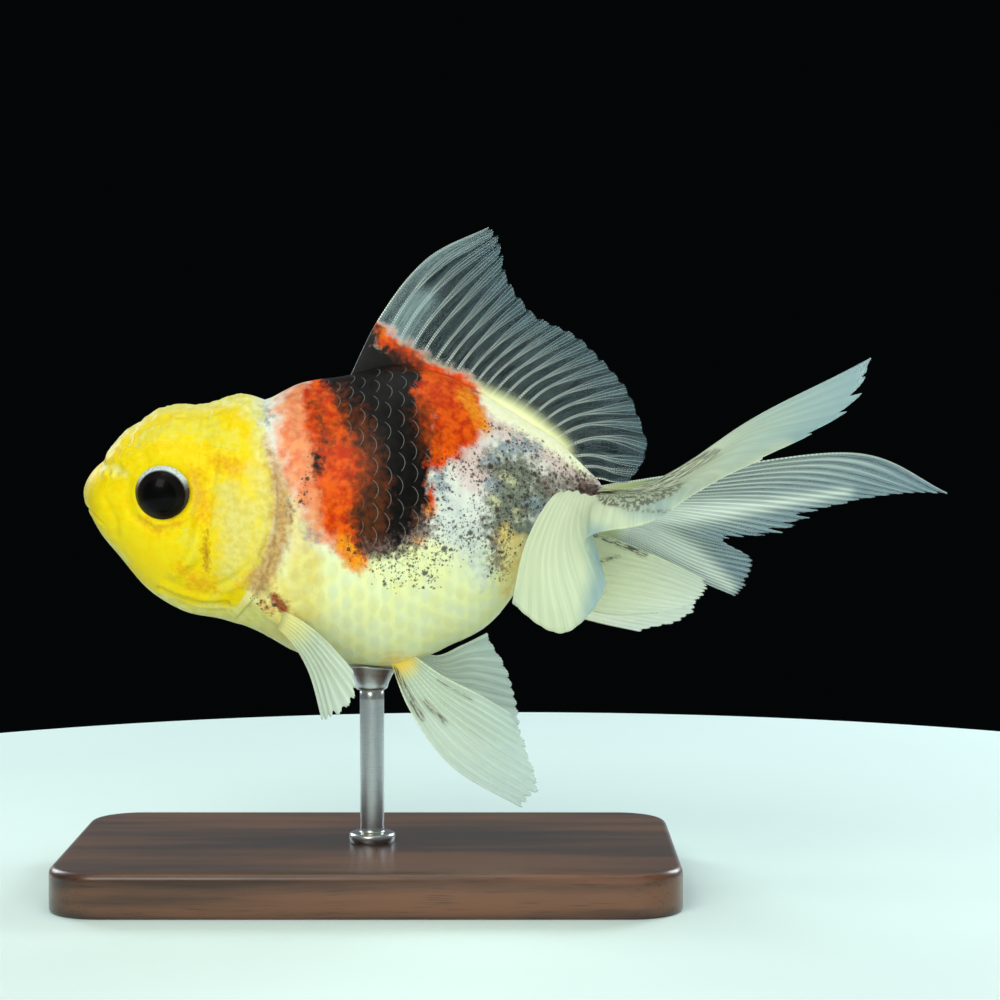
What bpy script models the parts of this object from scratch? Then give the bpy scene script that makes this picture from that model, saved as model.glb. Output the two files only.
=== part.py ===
"""Fancy goldfish: a still, life-size model of a young twin-tailed oranda on a display stand.

The fish faces -X, its left flank looks along -Y, and +Z is up from the underside of the base.
Sizes are in millimetres; every mesh is written in metres.
"""

import math
from dataclasses import dataclass

import bmesh
import bpy
import numpy as np

MM = 0.001

# Clearance between pieces that touch
GAP = 0.3

# Body: nose, the bowed line behind the gill covers, and the cut in front of the tail stalk
SNOUT_X = -33.1
SNOUT_Z = 45.2
SNOUT_CAP = 3.0
GILL_X = -14.4
GILL_RAKE = 1.7
GILL_BOW = 4.2
STALK_X = 19.8
STALK_END = 27.4
STALK_CAP = 1.2

# Facets of the body: points round a ring, rings of each piece, and how the head's crowd forward
RING_POINTS = 30
HEAD_RINGS = 18
HEAD_CROWDING = 1.6
TRUNK_RINGS = 15
STALK_RINGS = 6
STALK_TIP_RINGS = 3

# Hood: the low growth over the crown, and how far it rises at distances along the fish
HOOD_FRONT = -30.4
HOOD_SWEEP = 5.5
HOOD_RISES = (
    (-30.6, 0.0), (-30.1, 0.37), (-29.6, 0.72), (-29.0, 0.88), (-28.2, 1.15), (-27.4, 1.36),
    (-26.4, 1.48), (-25.1, 1.75), (-23.5, 2.15), (-22.0, 2.05), (-20.3, 1.65), (-18.8, 1.32),
    (-17.2, 1.42), (-15.6, 1.54), (-14.3, 1.45), (-13.0, 0.78), (-12.2, 0.0),
)
HOOD_SHOULDER = (math.radians(38), math.radians(78))
HOOD_SPAN = math.radians(45)
HOOD_DEPTH = 1.7
HOOD_COLUMNS = 11

# Gill covers
COVER_FRONT = -17.9
COVER_SWEEP = 1.6
COVER_TOP = math.radians(61)
COVER_FOOT = math.radians(142)
COVER_DEPTH = 0.9
COVER_COLUMNS = 8

# Recesses that the hood and gill covers lie in: border all round, how far they reach past the
# neck and above the skin, and the body radius that turns a border into an angle
RECESS_BORDER = 1.6 * GAP
RECESS_OVERRUN = 1.0
RECESS_LIFT = 1.5
BORDER_RADIUS = 6.0
PLATE_ROWS = 9

# Lower jaw: the wedge under the mouth
MOUTH_FRONT_Z = 43.9
MOUTH_BACK_X = -30.2
MOUTH_BACK_Z = 42.0
JAW_FRONT_X = SNOUT_X - 2.0
JAW_FOOT_Z = 34.0
JAW_REACH_Y = 9.0

# Eyes
EYE_X = -22.9
EYE_Z = 45.7
EYE_RADIUS = 3.5
EYE_DEPTH = 1.7
EYE_CLEARANCE = 0.3
EYE_RINGS = 8
EYE_POINTS = 18

# Fins
MARGIN_THICKNESS = 0.5
TAIL_ROOT_THICKNESS = 1.0
TAIL_ROWS = 9

# Stand
BASE_LENGTH = 70.0
BASE_WIDTH = 40.0
BASE_HEIGHT = 5.0
BASE_CORNER = 6.0
BASE_CHAMFER = 0.8
BASE_CORNER_STEPS = 4
ROD_RADIUS = 1.4
CUP_FOOT_Z = 22.9
CUP_HEIGHT = 4.0
CUP_FOOT_RADIUS = 1.9
CUP_RIM_RADIUS = 3.2
CUP_FLARE = 1.5
CUP_RINGS = 6
CIRCLE_POINTS = 24


@dataclass(frozen=True)
class Station:
    """A cross-section of the body. waist is the height of its widest point as a share of its
    depth, and pinch is how much the back narrows."""

    x: float
    back: float
    belly: float
    half_width: float
    waist: float
    pinch: float


STATIONS = (
    Station(-33.1, 48.2, 43.0, 3.0, 0.50, 0.00),
    Station(-31.3, 48.9, 40.8, 4.4, 0.50, 0.00),
    Station(-30.2, 49.4, 39.6, 5.0, 0.50, 0.00),
    Station(-29.1, 50.2, 38.3, 5.5, 0.50, 0.00),
    Station(-26.1, 52.1, 34.7, 6.6, 0.50, 0.00),
    Station(-22.0, 53.6, 31.9, 7.6, 0.50, 0.00),
    Station(-17.0, 54.7, 30.7, 8.7, 0.49, 0.02),
    Station(-12.7, 55.9, 29.1, 9.5, 0.48, 0.04),
    Station(-8.3, 58.0, 26.8, 10.3, 0.46, 0.08),
    Station(-3.0, 58.9, 25.6, 11.0, 0.45, 0.12),
    Station(3.2, 60.2, 25.3, 11.0, 0.45, 0.16),
    Station(9.0, 58.8, 27.6, 9.8, 0.45, 0.24),
    Station(14.5, 56.0, 30.8, 7.7, 0.46, 0.32),
    Station(18.2, 53.7, 35.8, 5.7, 0.47, 0.34),
    Station(21.6, 51.4, 39.6, 3.9, 0.48, 0.30),
    Station(24.5, 48.6, 40.8, 2.6, 0.50, 0.15),
    Station(27.4, 45.8, 41.2, 1.9, 0.50, 0.00),
)


@dataclass(frozen=True)
class Ray:
    """A fin ray's path: root, two points a third and two thirds along, and tip."""

    root: tuple
    inner: tuple
    outer: tuple
    tip: tuple


@dataclass(frozen=True)
class Fin:
    """A fin as a fan of rays. columns and rows set its facets across and along the rays, and
    root_thickness is at the body end."""

    name: str
    rays: tuple
    columns: int
    rows: int
    root_thickness: float
    material: str


DORSAL = (
    Ray((-2.9, 0, 57.4), (1.2, 0.1, 65.7), (6.6, 0.3, 72.3), (14.0, 0.6, 76.0)),
    Ray((-0.2, 0, 58.2), (3.3, 0.1, 66.0), (8.2, 0.3, 71.6), (14.6, 0.7, 75.4)),
    Ray((2.6, 0, 57.9), (6.2, 0.1, 64.3), (10.5, 0.4, 69.2), (15.3, 0.8, 73.6)),
    Ray((5.6, 0, 57.6), (8.7, 0.1, 62.4), (12.2, 0.4, 66.4), (15.9, 0.9, 70.3)),
    Ray((9.6, 0, 56.4), (12.3, 0.2, 60.2), (15.5, 0.5, 63.3), (19.1, 1.0, 65.9)),
    Ray((12.7, 0, 55.2), (16.0, 0.2, 58.8), (19.7, 0.6, 61.4), (23.6, 1.1, 63.7)),
    Ray((16.0, 0, 53.4), (19.6, 0.2, 56.9), (23.3, 0.6, 58.7), (27.4, 1.1, 60.1)),
    Ray((18.1, 0, 52.1), (21.9, 0.2, 55.0), (25.7, 0.5, 56.3), (29.7, 1.0, 57.2)),
    Ray((19.9, 0, 50.8), (24.0, 0.2, 53.0), (27.7, 0.4, 53.4), (31.4, 0.8, 53.2)),
    Ray((20.8, 0, 49.9), (25.0, 0.1, 51.5), (28.5, 0.3, 51.5), (32.0, 0.6, 50.6)),
    Ray((21.6, 0, 49.2), (25.1, 0.1, 49.7), (28.2, 0.2, 49.1), (31.4, 0.4, 48.6)),
    Ray((24.2, 0, 47.0), (26.4, 0, 47.0), (28.0, 0.1, 46.6), (29.7, 0.2, 46.5)),
)

PECTORAL_LEFT = (
    Ray((-10.4, -5.2, 30.7), (-8.3, -8.8, 28.9), (-6.3, -10.6, 25.5), (-4.8, -12.0, 20.3)),
    Ray((-10.3, -5.6, 31.4), (-7.6, -9.6, 29.4), (-5.1, -11.6, 26.0), (-3.3, -13.2, 20.9)),
    Ray((-10.2, -6.0, 32.1), (-6.9, -10.2, 30.1), (-4.1, -12.4, 27.2), (-0.9, -14.0, 23.0)),
    Ray((-10.0, -6.4, 32.8), (-6.3, -10.5, 30.9), (-3.8, -12.5, 29.0), (-1.2, -13.5, 26.2)),
)

PELVIC_LEFT = (
    Ray((1.9, -1.8, 27.4), (4.7, -4.5, 20.7), (9.6, -7.5, 14.7), (17.4, -9.5, 10.4)),
    Ray((2.4, -2.0, 27.6), (6.8, -5.0, 21.6), (13.0, -8.5, 16.4), (19.3, -10.5, 12.7)),
    Ray((2.9, -2.2, 27.8), (7.9, -5.0, 23.0), (13.0, -8.5, 20.1), (18.0, -10.5, 17.2)),
    Ray((3.4, -2.4, 28.0), (7.9, -5.0, 25.0), (12.4, -7.5, 23.0), (16.5, -9.0, 20.8)),
)

PELVIC_RIGHT = (
    Ray((2.2, 1.8, 27.4), (5.9, 4.0, 21.0), (11.7, 7.0, 16.4), (17.9, 9.0, 15.2)),
    Ray((2.7, 2.0, 27.6), (7.7, 5.0, 22.8), (12.3, 8.0, 20.5), (17.1, 10.0, 19.0)),
    Ray((3.2, 2.2, 27.8), (7.9, 5.0, 24.4), (11.9, 8.0, 24.1), (16.1, 10.0, 22.9)),
    Ray((3.6, 2.4, 28.0), (7.1, 5.0, 25.9), (10.4, 7.4, 26.9), (13.5, 9.0, 28.3)),
)

ANAL_LEFT = (
    Ray((17.9, -0.9, 36.8), (21.6, -2.6, 33.3), (27.2, -5.0, 31.8), (32.9, -6.5, 32.1)),
    Ray((19.3, -0.9, 38.4), (25.0, -3.0, 35.1), (31.1, -5.5, 33.8), (36.6, -7.0, 33.0)),
    Ray((20.9, -0.9, 40.2), (26.4, -2.6, 37.9), (32.6, -4.8, 36.4), (38.3, -6.2, 34.4)),
    Ray((22.5, -0.9, 41.6), (27.2, -2.0, 40.4), (32.8, -4.0, 38.3), (38.2, -5.4, 35.8)),
)

ANAL_RIGHT = (
    Ray((17.4, 0.9, 36.6), (20.5, 2.6, 32.1), (25.8, 4.5, 30.1), (31.4, 6.0, 28.7)),
    Ray((18.7, 0.9, 38.0), (23.4, 2.6, 33.2), (29.9, 4.5, 31.1), (36.3, 6.0, 30.0)),
    Ray((20.2, 0.9, 39.8), (25.4, 2.2, 35.0), (32.2, 4.0, 32.9), (38.2, 5.5, 32.1)),
    Ray((21.6, 0.9, 41.2), (26.3, 1.6, 37.8), (31.0, 2.6, 36.1), (35.7, 3.6, 34.4)),
)

# Each half of the twin tail runs from its upper edge, past the fork, to its lower edge
TAIL_LEFT = (
    Ray((24.5, -0.9, 45.7), (32.4, -2.4, 46.8), (42.7, -6.5, 53.6), (55.7, -13.0, 60.9)),
    Ray((24.5, -0.9, 45.0), (33.4, -4.0, 46.1), (42.6, -10.5, 52.0), (52.5, -16.0, 54.7)),
    Ray((24.5, -0.9, 44.3), (32.2, -5.0, 45.8), (37.1, -12.5, 47.5), (37.0, -17.5, 46.6)),
    Ray((24.5, -0.9, 43.6), (29.1, -6.0, 45.4), (31.0, -13.5, 45.7), (31.1, -18.5, 43.1)),
    Ray((24.5, -0.9, 43.0), (26.6, -6.5, 45.3), (25.6, -13.2, 44.9), (24.2, -17.0, 41.2)),
    Ray((24.5, -0.9, 42.4), (24.7, -6.4, 45.4), (24.2, -13.3, 42.3), (26.4, -16.4, 36.0)),
    Ray((24.5, -0.9, 41.9), (23.1, -6.3, 45.8), (20.6, -13.0, 39.0), (22.0, -16.0, 30.6)),
    Ray((24.3, -0.9, 41.4), (21.6, -6.4, 45.7), (17.8, -12.5, 40.6), (15.8, -15.5, 31.9)),
)

TAIL_RIGHT = (
    Ray((24.5, 0.9, 45.7), (37.5, 2.5, 47.6), (56.5, 4.8, 49.7), (67.7, 6.0, 44.9)),
    Ray((24.5, 0.9, 45.0), (35.6, 3.5, 45.6), (48.8, 7.0, 46.4), (62.0, 8.5, 44.6)),
    Ray((24.5, 0.9, 44.3), (34.5, 4.0, 44.2), (44.3, 8.5, 43.9), (53.8, 10.5, 42.9)),
    Ray((24.5, 0.9, 43.6), (33.4, 4.5, 43.0), (41.1, 9.5, 41.6), (49.3, 12.0, 39.8)),
    Ray((24.5, 0.9, 43.0), (32.2, 4.8, 42.0), (37.6, 10.0, 40.5), (42.0, 13.0, 39.0)),
    Ray((24.5, 0.9, 42.4), (31.7, 4.8, 41.0), (38.5, 10.5, 38.3), (45.7, 14.5, 36.6)),
    Ray((24.5, 0.9, 41.9), (31.0, 4.6, 39.9), (38.1, 10.0, 36.2), (44.8, 14.5, 33.7)),
    Ray((24.3, 0.9, 41.4), (30.6, 4.4, 38.9), (37.5, 9.0, 35.0), (43.6, 13.5, 32.1)),
)
FORK_RAY = 4

# Step that the slope of the surface is measured over, in mm along and in radians round
SLOPE_STEP = 0.04

# Finish of each material: base colour, roughness, metallic
FINISHES = {
    "head_skin": ((0.88, 0.70, 0.02), 0.40, 0.0),
    "hood_skin": ((0.90, 0.76, 0.06), 0.45, 0.0),
    "flank_skin": ((0.80, 0.30, 0.10), 0.35, 0.0),
    "stalk_skin": ((0.70, 0.66, 0.60), 0.35, 0.0),
    "clear_fin": ((0.72, 0.82, 0.84), 0.35, 0.0),
    "white_fin": ((0.80, 0.86, 0.78), 0.35, 0.0),
    "eye_glass": ((0.01, 0.01, 0.01), 0.08, 0.0),
    "base_wood": ((0.05, 0.025, 0.012), 0.40, 0.0),
    "rod_steel": ((0.62, 0.62, 0.62), 0.30, 1.0),
}


def clear_scene():
    for obj in list(bpy.data.objects):
        bpy.data.objects.remove(obj, do_unlink=True)


def make_material(name):
    colour, roughness, metallic = FINISHES[name]
    material = bpy.data.materials.get(name) or bpy.data.materials.new(name)
    material.use_nodes = True
    shader = material.node_tree.nodes["Principled BSDF"]
    shader.inputs["Base Color"].default_value = (*colour, 1.0)
    shader.inputs["Roughness"].default_value = roughness
    shader.inputs["Metallic"].default_value = metallic
    return material


def add_object(name, points, faces, material):
    """An object with its normals facing out. points are in millimetres."""
    mesh = bpy.data.meshes.new(name)
    mesh.from_pydata([tuple(p) for p in np.asarray(points, float) * MM], [], faces)
    mesh.materials.append(make_material(material))
    shape = bmesh.new()
    shape.from_mesh(mesh)
    bmesh.ops.recalc_face_normals(shape, faces=shape.faces)
    shape.to_mesh(mesh)
    shape.free()
    obj = bpy.data.objects.new(name, mesh)
    bpy.context.collection.objects.link(obj)
    return obj


def make_cutter(obj):
    obj.hide_render = True
    obj.display_type = "WIRE"
    return obj


def boolean(target, cutter, operation="DIFFERENCE"):
    modifier = target.modifiers.new(cutter.name, "BOOLEAN")
    modifier.object = cutter
    modifier.operation = operation
    modifier.solver = "EXACT"
    return modifier


def loft(name, rings, first_centre, last_centre, material):
    """A closed body through rings of points, each end closed by a fan to its centre."""
    count, around, _ = rings.shape
    points = np.concatenate([rings.reshape(-1, 3), [first_centre, last_centre]])
    faces = []
    for i in range(count - 1):
        for j in range(around):
            k = (j + 1) % around
            faces.append((i * around + j, i * around + k, (i + 1) * around + k, (i + 1) * around + j))
    first, last, end = len(points) - 2, len(points) - 1, (count - 1) * around
    for j in range(around):
        k = (j + 1) % around
        faces.append((first, k, j))
        faces.append((last, end + j, end + k))
    return add_object(name, points, faces, material)


def slab(name, front, back, material):
    """A closed body between two grids of points, joined round their rims."""
    rows, columns, _ = front.shape
    points = np.concatenate([front.reshape(-1, 3), back.reshape(-1, 3)])
    behind = rows * columns
    faces = []
    for i in range(rows - 1):
        for j in range(columns - 1):
            a, b = i * columns + j, (i + 1) * columns + j
            for corners in ((a, a + 1, b + 1), (a, b + 1, b)):
                faces.append(corners)
                faces.append([behind + corner for corner in reversed(corners)])
    rim = list(range(columns))
    rim += [i * columns + columns - 1 for i in range(1, rows)]
    rim += [(rows - 1) * columns + j for j in range(columns - 2, -1, -1)]
    rim += [i * columns for i in range(rows - 2, 0, -1)]
    for a, b in zip(rim, rim[1:] + rim[:1]):
        faces.append((a, behind + a, behind + b, b))
    return add_object(name, points, faces, material)


def ramp(value, start, end):
    """A smooth step from 0 at start to 1 at end."""
    t = np.clip((value - start) / (end - start), 0.0, 1.0)
    return t * t * (3.0 - 2.0 * t)


def lerp(a, b, t):
    return a + (b - a) * t


# ---- The body's surface: a point for each distance x along the fish and angle round it ----


def cubic(x, xs, ys):
    """The value at x of a cubic with central slopes through (xs, ys), held past its ends."""
    slopes = np.gradient(ys, xs)
    i = np.clip(np.searchsorted(xs, x) - 1, 0, len(xs) - 2)
    h = xs[i + 1] - xs[i]
    t = np.clip((x - xs[i]) / h, 0.0, 1.0)
    start = (1 + 2 * t) * (1 - t) ** 2 * ys[i] + t * (1 - t) ** 2 * h * slopes[i]
    end = t * t * (3 - 2 * t) * ys[i + 1] - t * t * (1 - t) * h * slopes[i + 1]
    return start + end


def profile(x, field):
    """A value of the stations at x."""
    return cubic(x, *np.array([(s.x, getattr(s, field)) for s in STATIONS]).T)


def end_cap(x):
    """How far the section has closed towards the ends: 0 at an end, 1 along the body."""
    nose = np.clip((SNOUT_X + SNOUT_CAP - x) / SNOUT_CAP, 0.0, 1.0)
    tail = np.clip((x - STALK_END + STALK_CAP) / STALK_CAP, 0.0, 1.0)
    return np.sqrt(1.0 - nose**2) * np.sqrt(1.0 - tail**2)


def section(x, angle):
    """The plain body surface, without the hood. angle is 0 at the back and pi at the belly."""
    back, belly = profile(x, "back"), profile(x, "belly")
    middle = lerp(belly, back, profile(x, "waist"))
    upward = np.maximum(np.cos(angle), 0.0)
    y = profile(x, "half_width") * np.sin(angle) * (1 - profile(x, "pinch") * upward**2)
    z = middle + np.where(np.cos(angle) > 0, back - middle, middle - belly) * np.cos(angle)
    centre = np.where(x < 0, SNOUT_Z, middle)
    cap = end_cap(x)
    return np.stack([x, y * cap, lerp(centre, z, cap)], axis=-1)


def hood_rise(x, angle):
    """How far the hood stands above the plain surface."""
    spread = np.abs(np.arctan2(np.sin(angle), np.cos(angle)))
    return cubic(x, *np.array(HOOD_RISES).T) * (1 - ramp(spread, *HOOD_SHOULDER))


def surface(x, angle, offset=0.0):
    """The true outline of the body, moved out along its normal by offset."""
    x, angle = np.broadcast_arrays(np.asarray(x, float), np.asarray(angle, float))
    low = np.clip(x - SLOPE_STEP, SNOUT_X, STALK_END)
    high = np.clip(x + SLOPE_STEP, SNOUT_X, STALK_END)
    along = section(high, angle) - section(low, angle)
    around = section(x, angle + SLOPE_STEP) - section(x, angle - SLOPE_STEP)
    normal = np.cross(along, around)
    length = np.linalg.norm(normal, axis=-1, keepdims=True)
    nose = np.array([-1.0, 0.0, 0.0])
    normal = np.where(length > 1e-9, normal / np.maximum(length, 1e-9), nose)
    lift = hood_rise(x, angle) + offset
    return section(x, angle) + normal * lift[..., None]


def gill_line(angle):
    """Where the head ends: it bows towards the tail at mid-height."""
    return GILL_X + GILL_RAKE * np.cos(angle) + GILL_BOW * np.sin(angle) ** 2


def ring_angles():
    return np.arange(RING_POINTS) * 2 * math.pi / RING_POINTS


def head_rings():
    share = (np.arange(1, HEAD_RINGS + 1) / HEAD_RINGS) ** HEAD_CROWDING
    angle = ring_angles()[None, :]
    return surface(lerp(SNOUT_X, gill_line(angle), share[:, None]), angle)


def body_rings(front, rear, count, offset=0.0):
    """Rings from the line front(angle) to the plane at rear."""
    share = np.linspace(0.0, 1.0, count)[:, None]
    angle = ring_angles()[None, :]
    return surface(lerp(front(angle), rear, share), angle, offset)


def trunk_rings(offset=0.0):
    return body_rings(lambda a: gill_line(a) + GAP, STALK_X - GAP / 2, TRUNK_RINGS, offset)


def stalk_rings(offset=0.0):
    """The stalk's rings, closing towards its end."""
    front, shoulder = STALK_X + GAP / 2, STALK_END - STALK_CAP
    barrel = body_rings(lambda a: front + 0 * a, shoulder, STALK_RINGS, offset)
    closing = shoulder + 0.4 * STALK_CAP
    last = STALK_END - 0.1 * STALK_CAP
    tip = body_rings(lambda a: closing + 0 * a, last, STALK_TIP_RINGS, offset)
    return np.concatenate([barrel, tip])


def closed_loft(name, rings, material):
    """A loft whose ends are closed at the middle of their rings."""
    return loft(name, rings, rings[0].mean(axis=0), rings[-1].mean(axis=0), material)


def build_body():
    """Head, trunk and tail stalk, and the hidden forms that trim the jaw and the fins."""
    rings = head_rings()
    nose = (SNOUT_X, 0.0, SNOUT_Z)
    neck = np.array([GILL_X + GILL_BOW, 0.0, rings[-1, :, 2].mean()])
    head = loft("head", rings, nose, neck, "head_skin")
    head_form = make_cutter(loft("head_form", rings, nose, neck, "head_skin"))
    rings = trunk_rings()
    loft("trunk", rings, neck + (GAP, 0.0, 0.0), rings[-1].mean(axis=0), "flank_skin")
    closed_loft("tail_stalk", stalk_rings(), "stalk_skin")
    rings = np.concatenate([trunk_rings(GAP), stalk_rings(GAP)])
    rings[-1, :, 0] += GAP
    clearance = make_cutter(closed_loft("clearance", rings, "flank_skin"))
    return head, head_form, clearance


def plate(name, x, angle, depth, lift, material):
    """A plate of the body's surface, from lift outside it to depth inside it, both measured
    towards the middle of its own section."""
    outline = surface(x, angle)
    middle = lerp(profile(x, "belly"), profile(x, "back"), profile(x, "waist"))
    inward = np.stack([0 * x, -outline[..., 1], middle - outline[..., 2]], axis=-1)
    inward /= np.linalg.norm(inward, axis=-1, keepdims=True)
    return slab(name, outline - inward * lift, outline + inward * depth, material)


def patch(angles, front, grow=0.0):
    """Stations and angles of a patch from front(angle) back to the gill line. grow adds a border
    all round it, wide enough at the rear to leave the head."""
    if grow:
        turn = grow / BORDER_RADIUS
        angles = np.concatenate([[angles[0] - turn], angles, [angles[-1] + turn]])
    x = lerp(front(angles), gill_line(angles), np.linspace(0.0, 1.0, PLATE_ROWS)[:, None])
    if grow:
        x = np.concatenate([x[:1] - grow, x, x[-1:] + RECESS_OVERRUN])
    return x, angles + 0 * x


def hood_front(angle):
    """The hood's front edge, which sweeps back from the middle of the crown."""
    return HOOD_FRONT + HOOD_SWEEP * (angle / HOOD_SPAN) ** 2


def cover_front(angle):
    """A gill cover's front edge, furthest forward at its middle."""
    middle = (COVER_TOP + COVER_FOOT) / 2
    return COVER_FRONT + COVER_SWEEP * ((angle - middle) / (COVER_FOOT - middle)) ** 2


def inlay(head, name, angles, front, side, depth, material):
    """A plate let into the head, flush with the outline, with clearance under and round it."""
    x, angle = patch(angles, front)
    plate(name, x, side * angle, depth, 0.0, material)
    x, angle = patch(angles, front, RECESS_BORDER)
    recess = plate(f"{name}_recess", x, side * angle, depth + GAP, RECESS_LIFT, "head_skin")
    boolean(head, make_cutter(recess))


def build_hood(head):
    angles = np.linspace(-HOOD_SPAN, HOOD_SPAN, HOOD_COLUMNS)
    inlay(head, "hood", angles, hood_front, 1, HOOD_DEPTH, "hood_skin")


def build_gill_covers(head):
    angles = np.linspace(COVER_TOP, COVER_FOOT, COVER_COLUMNS)
    for label, side in (("left", -1), ("right", 1)):
        inlay(head, f"gill_cover_{label}", angles, cover_front, side, COVER_DEPTH, "head_skin")


def jaw_wedge(name, grow):
    """The block under the mouth, across the whole snout."""
    back = MOUTH_BACK_X + grow
    top = ((JAW_FRONT_X, MOUTH_FRONT_Z + grow), (back, MOUTH_BACK_Z + grow))
    foot = ((back, JAW_FOOT_Z), (JAW_FRONT_X, JAW_FOOT_Z))
    side = np.array(top + foot)
    rings = np.stack([np.insert(side, 1, y, axis=1) for y in (-JAW_REACH_Y, JAW_REACH_Y)])
    return closed_loft(name, rings, "head_skin")


def build_jaw(head, head_form):
    boolean(jaw_wedge("lower_jaw", 0.0), head_form, "INTERSECT")
    boolean(head, make_cutter(jaw_wedge("jaw_recess", GAP)))


def ball(name, centre, radius, material):
    """A sphere whose poles point sideways, as an eye's do."""
    polar = np.linspace(0.0, math.pi, EYE_RINGS + 2)[1:-1, None]
    turn = (np.arange(EYE_POINTS) * 2 * math.pi / EYE_POINTS)[None, :]
    rings = np.stack(
        [np.sin(polar) * np.cos(turn), np.cos(polar) + 0 * turn, np.sin(polar) * np.sin(turn)],
        axis=-1,
    )
    poles = np.array([(0.0, 1.0, 0.0), (0.0, -1.0, 0.0)]) * radius + centre
    return loft(name, rings * radius + centre, *poles, material)


def build_eyes(head):
    back, belly = profile(EYE_X, "back"), profile(EYE_X, "belly")
    middle = lerp(belly, back, profile(EYE_X, "waist"))
    angle = math.acos((EYE_Z - middle) / (back - middle))
    half_width = abs(float(surface(EYE_X, angle)[1]))
    for label, side in (("left", -1), ("right", 1)):
        centre = np.array([EYE_X, side * (half_width - EYE_DEPTH), EYE_Z])
        ball(f"eye_{label}", centre, EYE_RADIUS, "eye_glass")
        socket = ball(f"socket_{label}", centre, EYE_RADIUS + EYE_CLEARANCE, "head_skin")
        boolean(head, make_cutter(socket))


# ---- Fins ----


def through(points, t):
    """Points along a smooth curve through evenly spaced points. t runs from 0 to their last."""
    points = np.asarray(points, float)
    slopes = np.gradient(points, axis=0)
    i = np.clip(t.astype(int), 0, len(points) - 2)
    u = (t - i).reshape(-1, *([1] * (points.ndim - 1)))
    start = (1 + 2 * u) * (1 - u) ** 2 * points[i] + u * (1 - u) ** 2 * slopes[i]
    end = u * u * (3 - 2 * u) * points[i + 1] - u * u * (1 - u) * slopes[i + 1]
    return start + end


def fan(rays, columns, rows):
    """A grid of points, rows along the rays by columns across them from first ray to last."""
    along = np.linspace(0.0, 3.0, rows)
    lines = [through((r.root, r.inner, r.outer, r.tip), along) for r in rays]
    return through(np.array(lines), np.linspace(0, len(rays) - 1, columns)).transpose(1, 0, 2)


def thickened(grid, root_thickness):
    """The two faces of a fin about a grid, thinning from its root to its margin."""
    normal = np.cross(np.gradient(grid, axis=0), np.gradient(grid, axis=1))
    normal /= np.linalg.norm(normal, axis=-1, keepdims=True)
    thickness = np.linspace(root_thickness, MARGIN_THICKNESS, len(grid))[:, None, None]
    return grid + normal * thickness / 2, grid - normal * thickness / 2


def draw_back(face, edge, amount):
    """Moves one edge column of a face back across the rays by amount."""
    inside = 1 if edge == 0 else -2
    across = face[:, inside] - face[:, edge]
    across /= np.linalg.norm(across, axis=-1, keepdims=True)
    face[:, edge] += across * amount


def mirrored(rays):
    """The same rays on the other side of the fish."""
    flipped = []
    for ray in rays:
        points = (ray.root, ray.inner, ray.outer, ray.tip)
        flipped.append(Ray(*((x, -y, z) for x, y, z in points)))
    return tuple(flipped)


def build_fins(clearance):
    fins = (
        Fin("dorsal_fin", DORSAL, 23, 7, 1.1, "clear_fin"),
        Fin("pectoral_fin_left", PECTORAL_LEFT, 7, 6, 1.0, "white_fin"),
        Fin("pectoral_fin_right", mirrored(PECTORAL_LEFT), 7, 6, 1.0, "white_fin"),
        Fin("pelvic_fin_left", PELVIC_LEFT, 7, 7, 1.0, "white_fin"),
        Fin("pelvic_fin_right", PELVIC_RIGHT, 7, 7, 1.0, "white_fin"),
        Fin("anal_fin_left", ANAL_LEFT, 7, 6, 0.9, "white_fin"),
        Fin("anal_fin_right", ANAL_RIGHT, 7, 6, 0.9, "white_fin"),
    )
    for fin in fins:
        front, back = thickened(fan(fin.rays, fin.columns, fin.rows), fin.root_thickness)
        boolean(slab(fin.name, front, back, fin.material), clearance)


def build_tail(clearance):
    """Two half tails side by side, each parted at its fork into an upper and a lower lobe."""
    fork = 2 * FORK_RAY
    for label, rays in (("left", TAIL_LEFT), ("right", TAIL_RIGHT)):
        faces = thickened(fan(rays, 2 * len(rays) - 1, TAIL_ROWS), TAIL_ROOT_THICKNESS)
        lobes = (("upper", slice(0, fork + 1), -1), ("lower", slice(fork, None), 0))
        for lobe, columns, edge in lobes:
            front, back = (face[:, columns].copy() for face in faces)
            for face in (front, back):
                draw_back(face, edge, GAP / 2)
            sheet = slab(f"tail_fin_{label}_{lobe}", front, back, "white_fin")
            boolean(sheet, clearance).use_self = True


# ---- Stand ----


def rounded_outline(length, width, corner, z):
    """A rectangle with rounded corners, as a ring of points."""
    points = []
    for quarter, (sx, sy) in enumerate(((1, 1), (-1, 1), (-1, -1), (1, -1))):
        for step in range(BASE_CORNER_STEPS + 1):
            turn = (quarter + step / BASE_CORNER_STEPS) * math.pi / 2
            x = sx * (length / 2 - corner) + corner * math.cos(turn)
            y = sy * (width / 2 - corner) + corner * math.sin(turn)
            points.append((x, y, z))
    return points


def circle(radius, z):
    turn = np.arange(CIRCLE_POINTS) * 2 * math.pi / CIRCLE_POINTS
    return np.stack([radius * np.cos(turn), radius * np.sin(turn), z + 0 * turn], axis=-1)


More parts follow.
